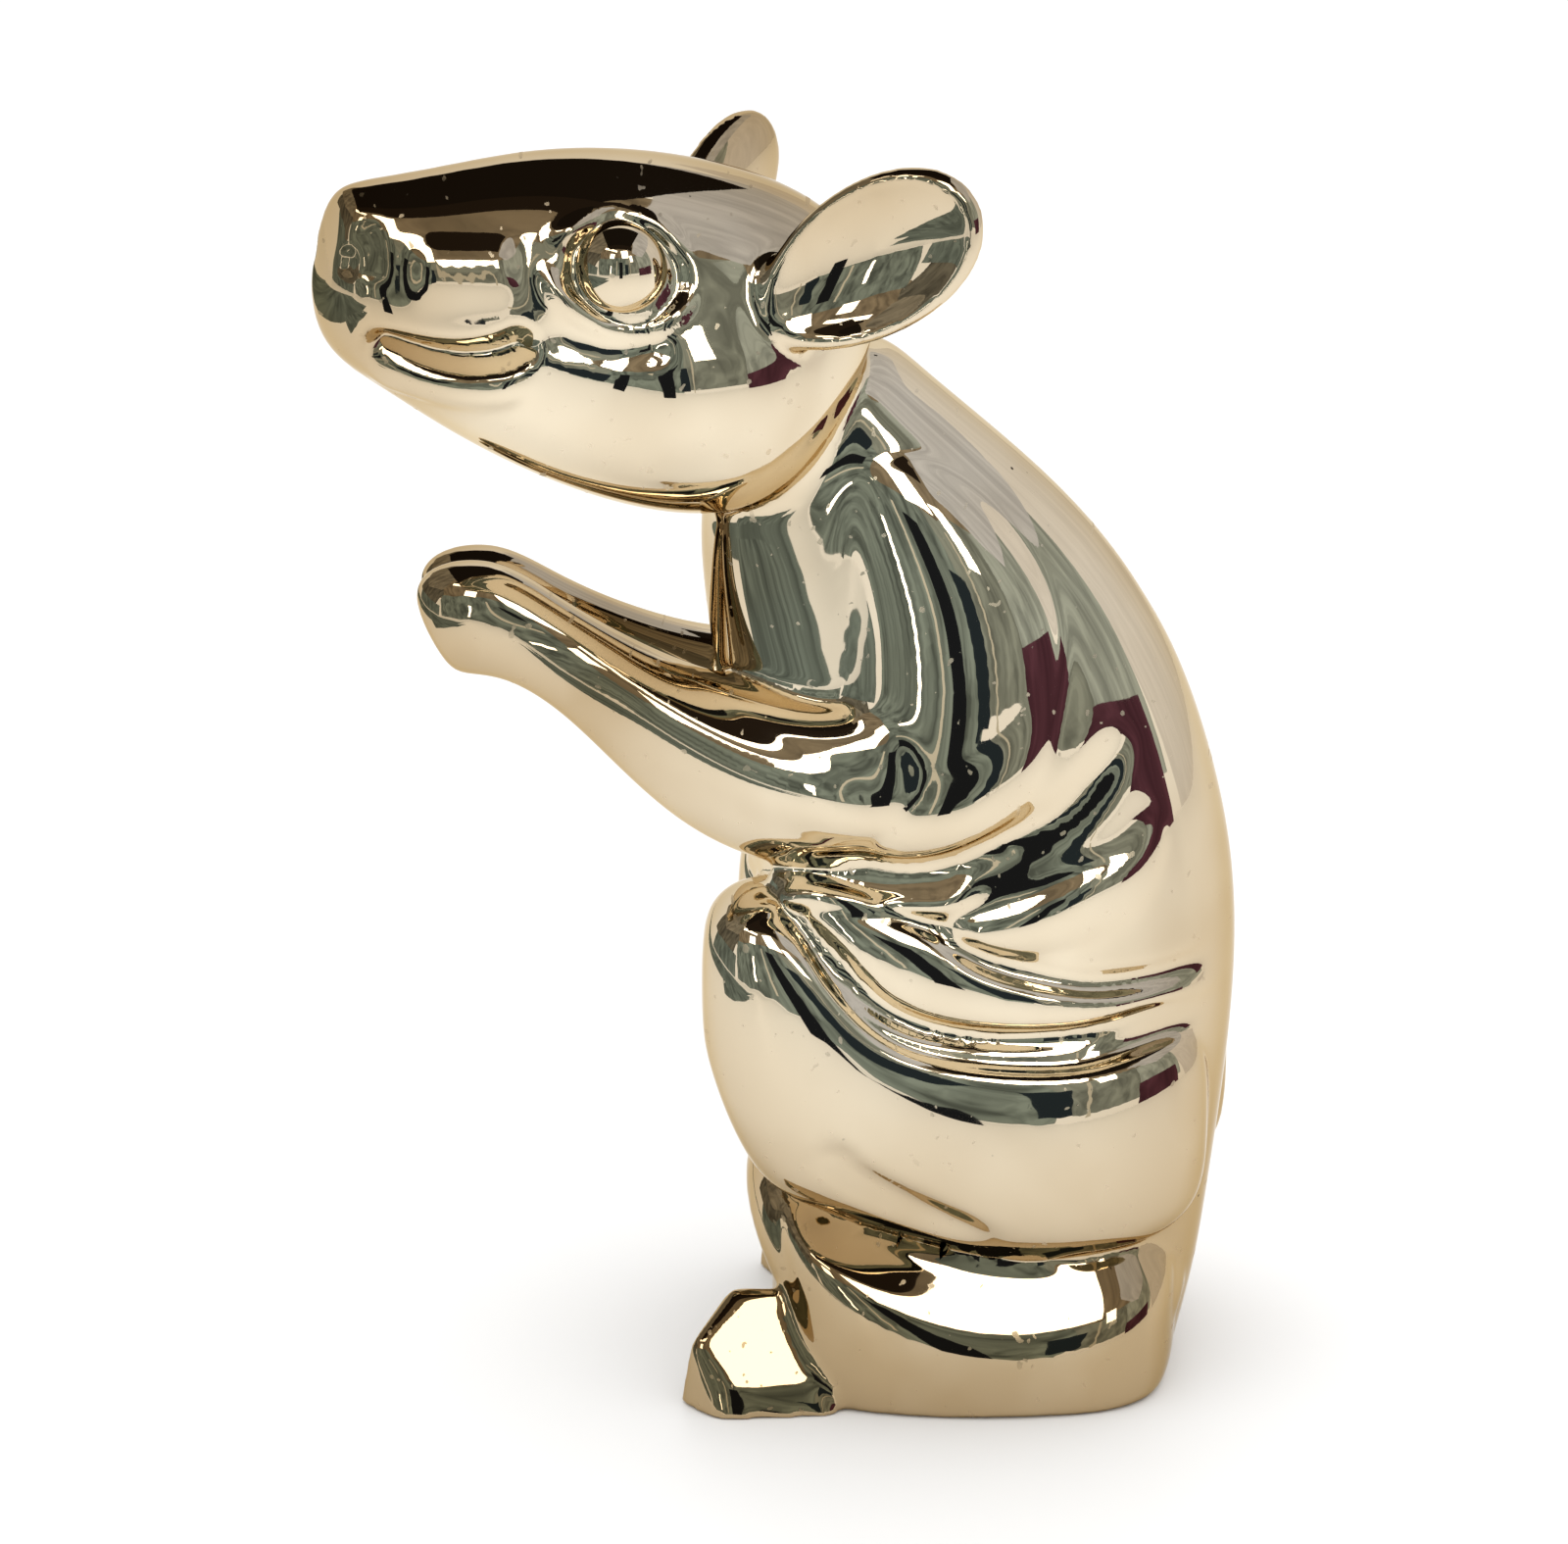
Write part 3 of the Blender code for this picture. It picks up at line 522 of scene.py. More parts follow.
def smooth_path(places):
    """Round off a path of places with a spline through them."""
    points = [Vector(place) for place in places]
    ends = [points[0] * 2.0 - points[1]] + points + [points[-1] * 2.0 - points[-2]]
    rounded = []
    for a, b, c, d in zip(ends, ends[1:], ends[2:], ends[3:]):
        for step in range(PATH_STEPS):
            t = step / PATH_STEPS
            rounded.append(0.5 * (2.0 * b + (c - a) * t
                                  + (2.0 * a - 5.0 * b + 4.0 * c - d) * t * t
                                  + (3.0 * b - a - 3.0 * c + d) * t * t * t))
    return rounded + [points[-1]]


def mark(casting, path, radius, fade):
    """A vertex group that is strong along a path and fades out at the radius."""
    group = casting.vertex_groups.new(name="mark")
    for index, weight in zip(*reach_weights(casting, path, radius, fade)):
        group.add([int(index)], float(weight), "REPLACE")
    return group


def soften(casting, path, radius, rounds):
    """Rub over a join along a path."""
    group = mark(casting, smooth_path(path), radius, NO_FADE)
    work(casting, "SMOOTH", factor=SMOOTH_FACTOR, iterations=rounds, vertex_group=group.name)
    casting.vertex_groups.clear()


def touch(casting, start, direction):
    """The place where a probe pushed at the casting from outside first touches it."""
    hit, place, _, _ = casting.ray_cast(start * MM, direction)
    if not hit:
        raise ValueError("the probe from " + str(start) + " misses the casting")
    return place / MM


def on_body(casting, path, side):
    """Places of the casting's flank seen square from the side, from a path of (y, z)."""
    inward = Vector((-side, 0.0, 0.0))
    return [touch(casting, Vector((side * SIDE_REACH, y, z)), inward) for y, z in path]


for side, _ in BOTH_SIDES:
    neck_join = [(side * x, y, z) for x, y, z in NECK_JOIN]
    soften(casting, neck_join, radius=9.0, rounds=120)
    soften(casting, on_body(casting, SHOULDER_JOIN, side), radius=7.0, rounds=120)
    soften(casting, on_body(casting, ARMPIT_JOIN, side), radius=6.0, rounds=100)
    ear_join = [head_point(forward, side * out, z) for forward, out, z in EAR_JOIN]
    soften(casting, ear_join, radius=8.0, rounds=60)
    soften(casting, on_body(casting, INSTEP_JOIN, side), radius=6.0, rounds=60)

# Face: mouth, lips, nostrils, eyelids and cheeks are worked into the casting, the same on both
# sides. Lines are (forward, z) seen square from the side of the head. A stroke is its line,
# radius, height (a groove's is negative) and the shares over which its start and end fade.
HEAD_REACH = 30.0
SOFT_ENDS = (0.2, 0.2)
CHEEK = [(23.0, 108.4), (18.4, 108.8)]
SNOUT_SIDE = [(50.5, 121.4), (46.0, 121.2), (41.5, 121.0), (38.0, 120.8)]
UNDER_EYE = [(38.0, 116.0), (35.4, 114.4), (31.2, 113.1), (27.4, 113.2), (24.5, 113.9)]
MOUTH = [(54.3, 114.6), (51.2, 113.7), (48.0, 112.9), (44.8, 112.6), (41.8, 113.0),
         (39.7, 113.8)]
MOUTH_POCKET = [(41.0, 113.0), (39.4, 113.6)]
LOWER_LIP = [(53.2, 111.4), (49.6, 110.0), (45.4, 109.0), (41.0, 109.4), (38.2, 111.4)]
EYE_CENTRE = (28.6, 120.2)
EYE_RING_RADII = (5.1, 4.9)
EYE_RING_STEP = 24
EYE_RING = [(EYE_CENTRE[0] + EYE_RING_RADII[0] * math.cos(math.radians(angle)),
             EYE_CENTRE[1] + EYE_RING_RADII[1] * math.sin(math.radians(angle)))
            for angle in range(0, 361, EYE_RING_STEP)]
LOWER_LID = [(36.8, 122.0), (36.2, 119.8), (35.2, 118.1), (33.2, 116.4), (29.9, 115.1),
             (26.9, 115.2), (24.4, 116.3), (22.9, 117.9), (22.5, 119.0)]
UPPER_LID = [(36.2, 123.4), (34.4, 123.9), (31.9, 124.7), (28.2, 125.0), (25.2, 124.4),
             (23.6, 122.8), (22.7, 120.6)]
NOSE_CREASE = [(53.4, 126.2), (53.0, 123.4), (53.6, 120.2)]
NOSTRIL = [(55.3, 121.0), (54.9, 122.4), (55.0, 123.6)]
HEAD_STROKES = [
    (CHEEK, 9.0, 1.3, NO_FADE),
    (SNOUT_SIDE, 4.6, 0.7, (0.25, 0.25)),
    (UNDER_EYE, 3.0, -0.8, SOFT_ENDS),
    (MOUTH, 2.6, -3.0, (0.15, 0.0)),
    (MOUTH_POCKET, 2.2, -0.8, NO_FADE),
    (LOWER_LIP, 2.6, 0.7, SOFT_ENDS),
    (EYE_RING, 1.5, -0.7, NO_FADE),
    (LOWER_LID, 1.7, 0.9, SOFT_ENDS),
    (UPPER_LID, 1.6, 0.7, SOFT_ENDS),
    (NOSE_CREASE, 2.4, -0.4, SOFT_ENDS),
    (NOSTRIL, 1.7, -0.7, (0.1, 0.3)),
]


def on_head(casting, path, side):
    """Places of the head seen square from its own side, from a path of (forward, z)."""
    inward = head_direction(0.0, -side, 0.0)
    return [touch(casting, head_point(forward, side * HEAD_REACH, z), inward)
            for forward, z in path]


def make_strokes(casting, strokes, find):
    """Raise ridges and press grooves, all found on both sides before the first one is made."""
    found = []
    for side, _ in BOTH_SIDES:
        for line, radius, height, fade in strokes:
            found.append((find(casting, line, side), radius, height, fade))
    for places, radius, height, fade in found:
        group = mark(casting, smooth_path(places), radius, fade)
        work(casting, "DISPLACE", strength=height * MM, mid_level=0.0, vertex_group=group.name)
        casting.vertex_groups.clear()


make_strokes(casting, HEAD_STROKES, on_head)

# Body: the creases, ridges and hollows of the skin are worked into the casting, the same on
# both sides. Lines are (y, z) seen square from the side, and strokes are as on the face. The
# end of the strap of skin under the arm is rubbed out, and then the whole is polished.
STRAP_END_REACH = 4.4
STRAP_END_ROUNDS = 100
POLISHING_ROUNDS = 8
ARM_EDGE = [(-43.0, 79.5), (-36.9, 76.0), (-30.0, 71.6), (-23.2, 68.2), (-16.3, 65.9),
            (-11.3, 64.2), (-4.5, 64.7), (-0.3, 65.8), (5.4, 70.0), (9.4, 76.5)]
STRAP_VALLEY = [(-21.1, 59.5), (-14.0, 58.5), (-7.2, 58.0), (1.2, 60.5), (8.3, 63.8),
                (12.6, 68.5), (14.5, 73.5)]
STRAP_RIDGE = [(-24.6, 53.1), (-18.9, 54.9), (-14.5, 55.0), (-6.5, 54.2), (-2.6, 55.0),
               (1.5, 57.3)]
STRAP_END = [(2.0, 57.4), (8.5, 60.9), (14.2, 63.6)]
FLANK_VALLEY = [(-4.0, 53.0), (-1.0, 54.0), (3.9, 55.8), (9.8, 58.6), (14.8, 61.0),
                (17.0, 66.0)]
FOLD_TOP_CREASE = [(-14.0, 56.0), (-9.0, 54.6), (-5.0, 52.6), (0.5, 49.0), (7.0, 46.9),
                   (13.1, 46.0), (22.0, 46.6), (25.0, 47.4)]
FOLD_CREASE = [(-20.5, 56.1), (-15.0, 49.7), (-9.5, 43.9), (-2.0, 41.5), (8.0, 40.9),
               (17.2, 42.3), (24.5, 43.4)]
HAUNCH_CREASE = [(-21.0, 55.0), (-15.0, 47.6), (-9.5, 42.0), (-2.0, 39.2), (10.1, 38.4),
                 (18.3, 39.8), (25.1, 41.6)]
HAUNCH_LIP = [(-16.5, 21.5), (-11.9, 19.0), (-3.8, 16.8), (3.8, 16.0), (12.0, 16.2)]
HAUNCH_HOLLOW = [(-17.5, 30.5), (-14.5, 28.6), (-11.9, 26.3), (-3.8, 21.9), (3.8, 18.4)]
BODY_STROKES = [
    (ARM_EDGE, 5.0, 0.8, SOFT_ENDS),
    (STRAP_VALLEY, 3.4, -1.3, SOFT_ENDS),
    (STRAP_RIDGE, 1.8, 0.8, SOFT_ENDS),
    (FLANK_VALLEY, 3.6, -0.7, (0.5, 0.3)),
    (FOLD_TOP_CREASE, 2.2, -0.9, (0.4, 0.15)),
    (FOLD_CREASE, 2.0, -0.8, SOFT_ENDS),
    (HAUNCH_CREASE, 2.0, -0.8, SOFT_ENDS),
    (HAUNCH_LIP, 3.0, 0.5, SOFT_ENDS),
    (HAUNCH_HOLLOW, 3.2, -1.0, (0.15, 0.3)),
]
make_strokes(casting, BODY_STROKES, on_body)
for side, _ in BOTH_SIDES:
    strap_end = on_body(casting, STRAP_END, side)
    soften(casting, strap_end, STRAP_END_REACH, STRAP_END_ROUNDS)
work(casting, "SMOOTH", factor=SMOOTH_FACTOR, iterations=POLISHING_ROUNDS)
bpy.ops.object.shade_smooth()

# Eyes: polished domes inside the lids, cast in one with the head and coated with the same film.
# Each is a ball let into its socket, so that only its dome shows.
EYE_RADIUS = 4.7
EYE_OUT = 9.2
EYE_SUBDIVISIONS = 5
eyes = []
for side, name in BOTH_SIDES:
    centre = head_point(EYE_CENTRE[0], side * EYE_OUT, EYE_CENTRE[1]) * MM
    bpy.ops.object.select_all(action="DESELECT")
    bpy.ops.mesh.primitive_ico_sphere_add(
        subdivisions=EYE_SUBDIVISIONS, radius=EYE_RADIUS * MM, location=centre)
    eye = bpy.context.object
    eye.name = name + "_eye_dome"
    bpy.ops.object.transform_apply(location=True, rotation=True, scale=True)
    bpy.ops.object.shade_smooth()
    eyes.append(eye)

# Gold film: a thin mirror coat on the crystal, pale over the trunk and the cheeks and deeper gold
# on the snout, arms, ears and base, where the deeper gold is painted shade for the darker
# reflections there. It has drifts of tint, a slight ripple, hairline scratches and specks of dust,
# with its places read from the figure itself, in metres.
PALE_GOLD = (0.80, 0.70, 0.535, 1.0)
# The deeper gold is painted shade: it darkens the mirror away from the trunk, where the
# reflections are darker.
PAINTED_SHADE_GOLD = (0.48, 0.355, 0.205, 1.0)
EDGE_GOLD = (0.78, 0.69, 0.54, 1.0)
DUST = (0.055, 0.045, 0.035, 1.0)
PALE_CENTRE = (0.0, -0.004, 0.072)
PALE_REACH = (1.0, 0.032, 0.060)
CHEEK_CENTRE = (0.012, -0.038, 0.106)
CHEEK_REACH = (0.028, 0.028, 0.028)
PAINTED_SHADE_STOPS = (0.28, 0.64)
DRIFT_SCALE = 38.0
DRIFT_STOPS = (0.42, 0.72)
DRIFT_DEPTH = (0.35, 0.35, 0.35, 1)
SCRATCH_LAYS = ((0.5, 0.9), (2.1, 1.3))
SCRATCH_LEAN = 0.4
SCRATCH_ALONG = 40.0
SCRATCH_ACROSS = 900.0
SCRATCH_STOPS = (0.745, 0.765)
SPECK_SCALE = 330.0
SPECK_STOPS = (0.05, 0.075)
DUSTY_SCALE = 90.0
DUSTY_STOPS = (0.59, 0.64)
CLEAN_ROUGHNESS = 0.025
WORN_ROUGHNESS = 0.35
RIPPLE_SCALE = 120.0
RIPPLE_STRENGTH = 0.5
RIPPLE_HEIGHT = 0.00006
MIX_FIRST = 6
MIX_SECOND = 7
MIX_RESULT = 2
BLACK = (0, 0, 0, 1)
WHITE = (1, 1, 1, 1)
film = bpy.data.materials.new("gold_mirror_film")
film.use_nodes = True
tree = film.node_tree
shader = tree.nodes["Principled BSDF"]
shader.inputs["Metallic"].default_value = 1.0
shader.inputs["Specular Tint"].default_value = EDGE_GOLD


def node(kind, label, **settings):
    """A node of the film's shader, with its settings and the values of its sockets."""
    made = tree.nodes.new(kind)
    made.label = label
    for name, value in settings.items():
        if name in made.inputs:
            made.inputs[name].default_value = value
        else:
            setattr(made, name, value)
    return made


def ramp(label, source, stops, low_colour=BLACK, high_colour=WHITE):
    """A value run through a ramp between two stops."""
    made = tree.nodes.new("ShaderNodeValToRGB")
    made.label = label
    made.color_ramp.elements[0].position = stops[0]
    made.color_ramp.elements[0].color = low_colour
    made.color_ramp.elements[1].position = stops[1]
    made.color_ramp.elements[1].color = high_colour
    tree.links.new(source, made.inputs["Fac"])
    return made.outputs["Color"]


def sum_of(label, *sources):
    """Values added up, clamped to 1."""
    total = sources[0]
    for source in sources[1:]:
        adder = node("ShaderNodeMath", label, operation="ADD", use_clamp=True)
        tree.links.new(total, adder.inputs[0])
        tree.links.new(source, adder.inputs[1])
        total = adder.outputs["Value"]
    return total


place = node("ShaderNodeTexCoord", "place on the figure").outputs["Object"]


def reaches_from(label, centre, reach):
    """How far a place lies from a centre, in reaches along each axis."""
    offset = node("ShaderNodeVectorMath", "from the " + label, operation="SUBTRACT")
    offset.inputs[1].default_value = centre
    tree.links.new(place, offset.inputs[0])
    share = node("ShaderNodeVectorMath", "in reaches of the " + label, operation="DIVIDE")
    share.inputs[1].default_value = reach
    tree.links.new(offset.outputs["Vector"], share.inputs[0])
    length = node("ShaderNodeVectorMath", "reach from the " + label, operation="LENGTH")
    tree.links.new(share.outputs["Vector"], length.inputs[0])
    return length.outputs["Value"]


# Painted shade: the film turns to the deeper gold with the reach from the trunk and the cheek.
nearer = node("ShaderNodeMath", "nearer of trunk and cheek", operation="MINIMUM")
tree.links.new(reaches_from("trunk", PALE_CENTRE, PALE_REACH), nearer.inputs[0])
tree.links.new(reaches_from("cheek", CHEEK_CENTRE, CHEEK_REACH), nearer.inputs[1])
shorter = node("ShaderNodeMath", "half the reach", operation="MULTIPLY")
shorter.inputs[1].default_value = 0.5
tree.links.new(nearer.outputs["Value"], shorter.inputs[0])
painted_shade = ramp("painted shade away from the trunk", shorter.outputs["Value"], PAINTED_SHADE_STOPS)
drift = node("ShaderNodeTexNoise", "drift of tint", Scale=DRIFT_SCALE, Detail=3.0, Roughness=0.5)
tree.links.new(place, drift.inputs["Vector"])
drifts = ramp("drifts", drift.outputs["Fac"], DRIFT_STOPS, high_colour=DRIFT_DEPTH)
tint = node("ShaderNodeMix", "tint", data_type="RGBA")
tree.links.new(sum_of("painted shade and tint drifts", painted_shade, drifts), tint.inputs["Factor"])
tint.inputs[MIX_FIRST].default_value = PALE_GOLD
tint.inputs[MIX_SECOND].default_value = PAINTED_SHADE_GOLD

scratch_marks = []
for turn, stretch in SCRATCH_LAYS:
    lay = node("ShaderNodeMapping", "lay of the scratches")
    lay.inputs["Rotation"].default_value = (turn, SCRATCH_LEAN * turn, turn)
    lay.inputs["Scale"].default_value = (
        SCRATCH_ALONG * stretch, SCRATCH_ACROSS, SCRATCH_ACROSS)
    tree.links.new(place, lay.inputs["Vector"])
    hair = node("ShaderNodeTexNoise", "hairlines", Scale=1.0, Detail=1.0, Roughness=0.4)
    tree.links.new(lay.outputs["Vector"], hair.inputs["Vector"])
    scratch_marks.append(ramp("scratches", hair.outputs["Fac"], SCRATCH_STOPS))
scratches = sum_of("all scratches", *scratch_marks)
speck = node("ShaderNodeTexVoronoi", "specks", Scale=SPECK_SCALE)
tree.links.new(place, speck.inputs["Vector"])
specks = ramp("specks of dust", speck.outputs["Distance"], SPECK_STOPS, WHITE, BLACK)
patchy = node("ShaderNodeTexNoise", "where the dust lies", Scale=DUSTY_SCALE, Detail=2.0)
tree.links.new(place, patchy.inputs["Vector"])
dusty = node("ShaderNodeMath", "dust", operation="MULTIPLY")
tree.links.new(specks, dusty.inputs[0])
tree.links.new(ramp("dusty places", patchy.outputs["Fac"], DUSTY_STOPS), dusty.inputs[1])
coat = node("ShaderNodeMix", "coat with dust", data_type="RGBA")
tree.links.new(dusty.outputs["Value"], coat.inputs["Factor"])
tree.links.new(tint.outputs[MIX_RESULT], coat.inputs[MIX_FIRST])
coat.inputs[MIX_SECOND].default_value = DUST
tree.links.new(coat.outputs[MIX_RESULT], shader.inputs["Base Color"])
wear = sum_of("wear", scratches, dusty.outputs["Value"])
rough = node("ShaderNodeMapRange", "roughness")
rough.inputs["To Min"].default_value = CLEAN_ROUGHNESS
rough.inputs["To Max"].default_value = WORN_ROUGHNESS
tree.links.new(wear, rough.inputs["Value"])
tree.links.new(rough.outputs["Result"], shader.inputs["Roughness"])
ripple = node("ShaderNodeTexNoise", "ripple", Scale=RIPPLE_SCALE, Detail=1.5, Roughness=0.4)
tree.links.new(place, ripple.inputs["Vector"])
relief = node("ShaderNodeBump", "ripple in the film", Strength=RIPPLE_STRENGTH,
              Distance=RIPPLE_HEIGHT)
tree.links.new(ripple.outputs["Fac"], relief.inputs["Height"])
tree.links.new(relief.outputs["Normal"], shader.inputs["Normal"])

# Pieces: the skin is parted along the seats of the masses, each face going to the mass that it
# lies nearest to. The partings are evened out, and each piece is closed inside the casting. It
# keeps the normals of the whole skin, so that no parting shows in the mirror.
EVENING_ROUNDS = 24
OWN_SHARE = 0.4
LIP_DEPTH = 1.8
CAP_DEPTH = 10.0
CAP_SHARE = 0.5
QUAD_SIDES = 4
for _ in PIECES:
    casting.data.materials.append(film)
face_count = len(casting.data.polygons)
marks = np.empty(len(pattern.data.polygons), dtype=np.int32)
pattern.data.attributes["owner"].data.foreach_get("value", marks)
nearest = [pattern.closest_point_on_mesh(face.center)[3] for face in casting.data.polygons]
votes = np.eye(len(PIECES), dtype=np.float32)[marks[nearest]]
starts = np.empty(face_count, dtype=np.int32)
casting.data.polygons.foreach_get("loop_start", starts)
sides = np.empty(face_count, dtype=np.int32)
casting.data.polygons.foreach_get("loop_total", sides)
edges = np.empty(len(casting.data.loops), dtype=np.int32)
casting.data.loops.foreach_get("edge_index", edges)
face_of_corner = np.repeat(np.arange(face_count), sides)
order = np.argsort(edges, kind="stable")
across = np.empty_like(face_of_corner)
across[order[0::2]] = face_of_corner[order[1::2]]
across[order[1::2]] = face_of_corner[order[0::2]]
for _ in range(EVENING_ROUNDS):
    around = np.add.reduceat(votes[across], starts, axis=0)
    votes = OWN_SHARE * votes + (1.0 - OWN_SHARE) * around / sides[:, None]
owner_of_face = votes.argmax(axis=1).astype(np.int32)
casting.data.polygons.foreach_set("material_index", owner_of_face)
casting.data.attributes.new("owner", "INT", "FACE").data.foreach_set("value", owner_of_face)
bpy.ops.object.select_all(action="DESELECT")
casting.select_set(True)
bpy.context.view_layer.objects.active = casting
bpy.ops.object.duplicate()
whole = bpy.context.object
whole.name = "whole_skin"
bpy.ops.object.select_all(action="DESELECT")
casting.select_set(True)
bpy.context.view_layer.objects.active = casting
bpy.ops.object.mode_set(mode="EDIT")
bpy.ops.mesh.separate(type="MATERIAL")
bpy.ops.object.mode_set(mode="OBJECT")


def extend_rim_inward(piece, whole):
    """Give an open piece a lip along its rim that dips under the skin."""
    shape = bmesh.from_edit_mesh(piece.data)
    rim = [edge for edge in shape.edges if edge.is_boundary]
    for made in bmesh.ops.extrude_edge_only(shape, edges=rim)["geom"]:
        if isinstance(made, bmesh.types.BMVert):
            _, _, outward, _ = whole.closest_point_on_mesh(made.co)
            made.co -= outward * LIP_DEPTH * MM
    bmesh.update_edit_mesh(piece.data)


def cap_rim(piece, whole):
    """Close the lip with caps whose middle is sunk into the casting.

    The second filling closes what the first one leaves open."""
    for _ in range(2):
        bpy.ops.mesh.select_all(action="SELECT")
        bpy.ops.mesh.fill_holes(sides=0)
    bpy.ops.mesh.select_face_by_sides(number=QUAD_SIDES, type="GREATER", extend=False)
    spots_before = len(piece.data.vertices)
    bpy.ops.mesh.poke()
    shape = bmesh.from_edit_mesh(piece.data)
    shape.verts.ensure_lookup_table()
    for apex in shape.verts[spots_before:]:
        rim = [edge.other_vert(apex).co for edge in apex.link_edges]
        outward = sum((whole.closest_point_on_mesh(spot)[2] for spot in rim), Vector()) / len(rim)
        reach = sum((spot - apex.co).length for spot in rim) / len(rim)
        apex.co -= outward * min(CAP_DEPTH * MM, CAP_SHARE * reach)
    bmesh.update_edit_mesh(piece.data)
    bpy.ops.mesh.select_all(action="SELECT")
    bpy.ops.mesh.normals_make_consistent(inside=False)


for piece in list(bpy.context.selected_objects):
    owner = PIECES[piece.data.attributes["owner"].data[0].value]
    piece.name = owner + "_skin"
    bpy.ops.object.select_all(action="DESELECT")
    piece.select_set(True)
    bpy.context.view_layer.objects.active = piece
    bpy.ops.object.mode_set(mode="EDIT")
    bpy.ops.mesh.select_mode(type="FACE")
    extend_rim_inward(piece, whole)
    cap_rim(piece, whole)
    bpy.ops.object.mode_set(mode="OBJECT")
    normals = piece.modifiers.new("normals_of_the_whole", "DATA_TRANSFER")
    normals.object = whole
    normals.use_loop_data = True
    normals.data_types_loops = {"CUSTOM_NORMAL"}
    normals.loop_mapping = "POLYINTERP_NEAREST"
    bpy.ops.object.modifier_apply(modifier=normals.name)
    piece.data.attributes.remove(piece.data.attributes["owner"])
    piece.data.materials.clear()
    piece.data.materials.append(film)
    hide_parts(owner)
    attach(piece, "root")
bpy.data.objects.remove(whole, do_unlink=True)
bpy.data.objects.remove(pattern, do_unlink=True)
for eye, name in zip(eyes, ("left_eye", "right_eye")):
    eye.data.materials.append(film)
    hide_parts(name)
    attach(eye, "root")

# Stage: the figure stands on white paper in an empty room. A mirror film shows only what stands
# round it, so plain glowing cards take the place of walls, ceiling, window and lamps. They are
# seen in the film alone, and a soft lamp overhead lights the paper.
PAPER_WHITE = (0.94, 0.94, 0.935, 1)
PAPER_SIZE = 6
bpy.ops.object.select_all(action="DESELECT")
bpy.ops.mesh.primitive_plane_add(size=PAPER_SIZE)
floor = bpy.context.object
floor.name = "floor"
paper = bpy.data.materials.new("paper")
paper.use_nodes = True
paper.node_tree.nodes["Principled BSDF"].inputs["Base Color"].default_value = PAPER_WHITE
floor.data.materials.append(paper)

FIGURE_MIDDLE = Vector((0, 0, 0.06))
STREAK_STRETCH = (2.6, 0.9)
STREAK_TILT = 0.12
STREAK_SCALE = 1.6
STREAK_DETAIL = 5.0
STREAK_WARP = 0.6
STREAK_DARKEST = 0.35
STREAK_BRIGHTEST = 0.65
TEAL = (0.19, 0.235, 0.225)
DAYLIGHT = (1, 0.97, 0.90)
WINDOW_GLOW = 4.5
LAMP_GLOW = 4


def glow_of(name, width, height, colour, strength, streaks):
    """A plain glow, or one with soft streaks of light and dark over a card of a size."""
    glow = bpy.data.materials.new(name)
    glow.use_nodes = True
    tree = glow.node_tree
    tree.nodes.clear()
    light = tree.nodes.new("ShaderNodeEmission")
    light.inputs["Color"].default_value = (*colour, 1)
    light.inputs["Strength"].default_value = strength
    if streaks > 0.0:
        spot = tree.nodes.new("ShaderNodeTexCoord")
        lay = tree.nodes.new("ShaderNodeMapping")
        lay.inputs["Scale"].default_value = (
            width * STREAK_STRETCH[0], height * STREAK_STRETCH[1], 1.0)
        lay.inputs["Rotation"].default_value = (0.0, 0.0, STREAK_TILT)
        cloud = tree.nodes.new("ShaderNodeTexNoise")
        cloud.inputs["Scale"].default_value = STREAK_SCALE
        cloud.inputs["Detail"].default_value = STREAK_DETAIL
        cloud.inputs["Distortion"].default_value = STREAK_WARP
        shade = tree.nodes.new("ShaderNodeMapRange")
        shade.inputs["From Min"].default_value = STREAK_DARKEST
        shade.inputs["From Max"].default_value = STREAK_BRIGHTEST
        shade.inputs["To Min"].default_value = strength * (1.0 - streaks)
        shade.inputs["To Max"].default_value = strength * (1.0 + streaks)
        tree.links.new(spot.outputs["Object"], lay.inputs["Vector"])
        tree.links.new(lay.outputs["Vector"], cloud.inputs["Vector"])
        tree.links.new(cloud.outputs["Fac"], shade.inputs["Value"])
        tree.links.new(shade.outputs["Result"], light.inputs["Strength"])
    out = tree.nodes.new("ShaderNodeOutputMaterial")
    tree.links.new(light.outputs["Emission"], out.inputs["Surface"])
    return glow


def hang(name, place, turn, width, height, glow):
    """Hang a card that the film mirrors, but that the camera and the paper don't see."""
    bpy.ops.object.select_all(action="DESELECT")
    bpy.ops.mesh.primitive_plane_add(size=1, location=place, rotation=turn)
    made = bpy.context.object
    made.name = name
    made.scale = (width, height, 1)
    made.data.materials.append(glow)
    made.visible_camera = False
    made.visible_diffuse = False
    made.visible_shadow = False


def card(name, azimuth, elevation, distance, width, height, colour, strength=1.0, streaks=0.0):
    """Hang a card that faces the figure. Its azimuth, in degrees, is 0 on the camera's side and
    grows towards the rat's back. Its distance and size are in metres."""
    turn = math.radians(azimuth + 90.0)
    lift = math.radians(elevation)
    aim = Vector((math.sin(turn) * math.cos(lift), -math.cos(turn) * math.cos(lift),
                  math.sin(lift)))
    hang(name, aim * distance + FIGURE_MIDDLE, aim.to_track_quat("Z", "Y").to_euler(), width,
         height, glow_of(name, width, height, colour, strength, streaks))


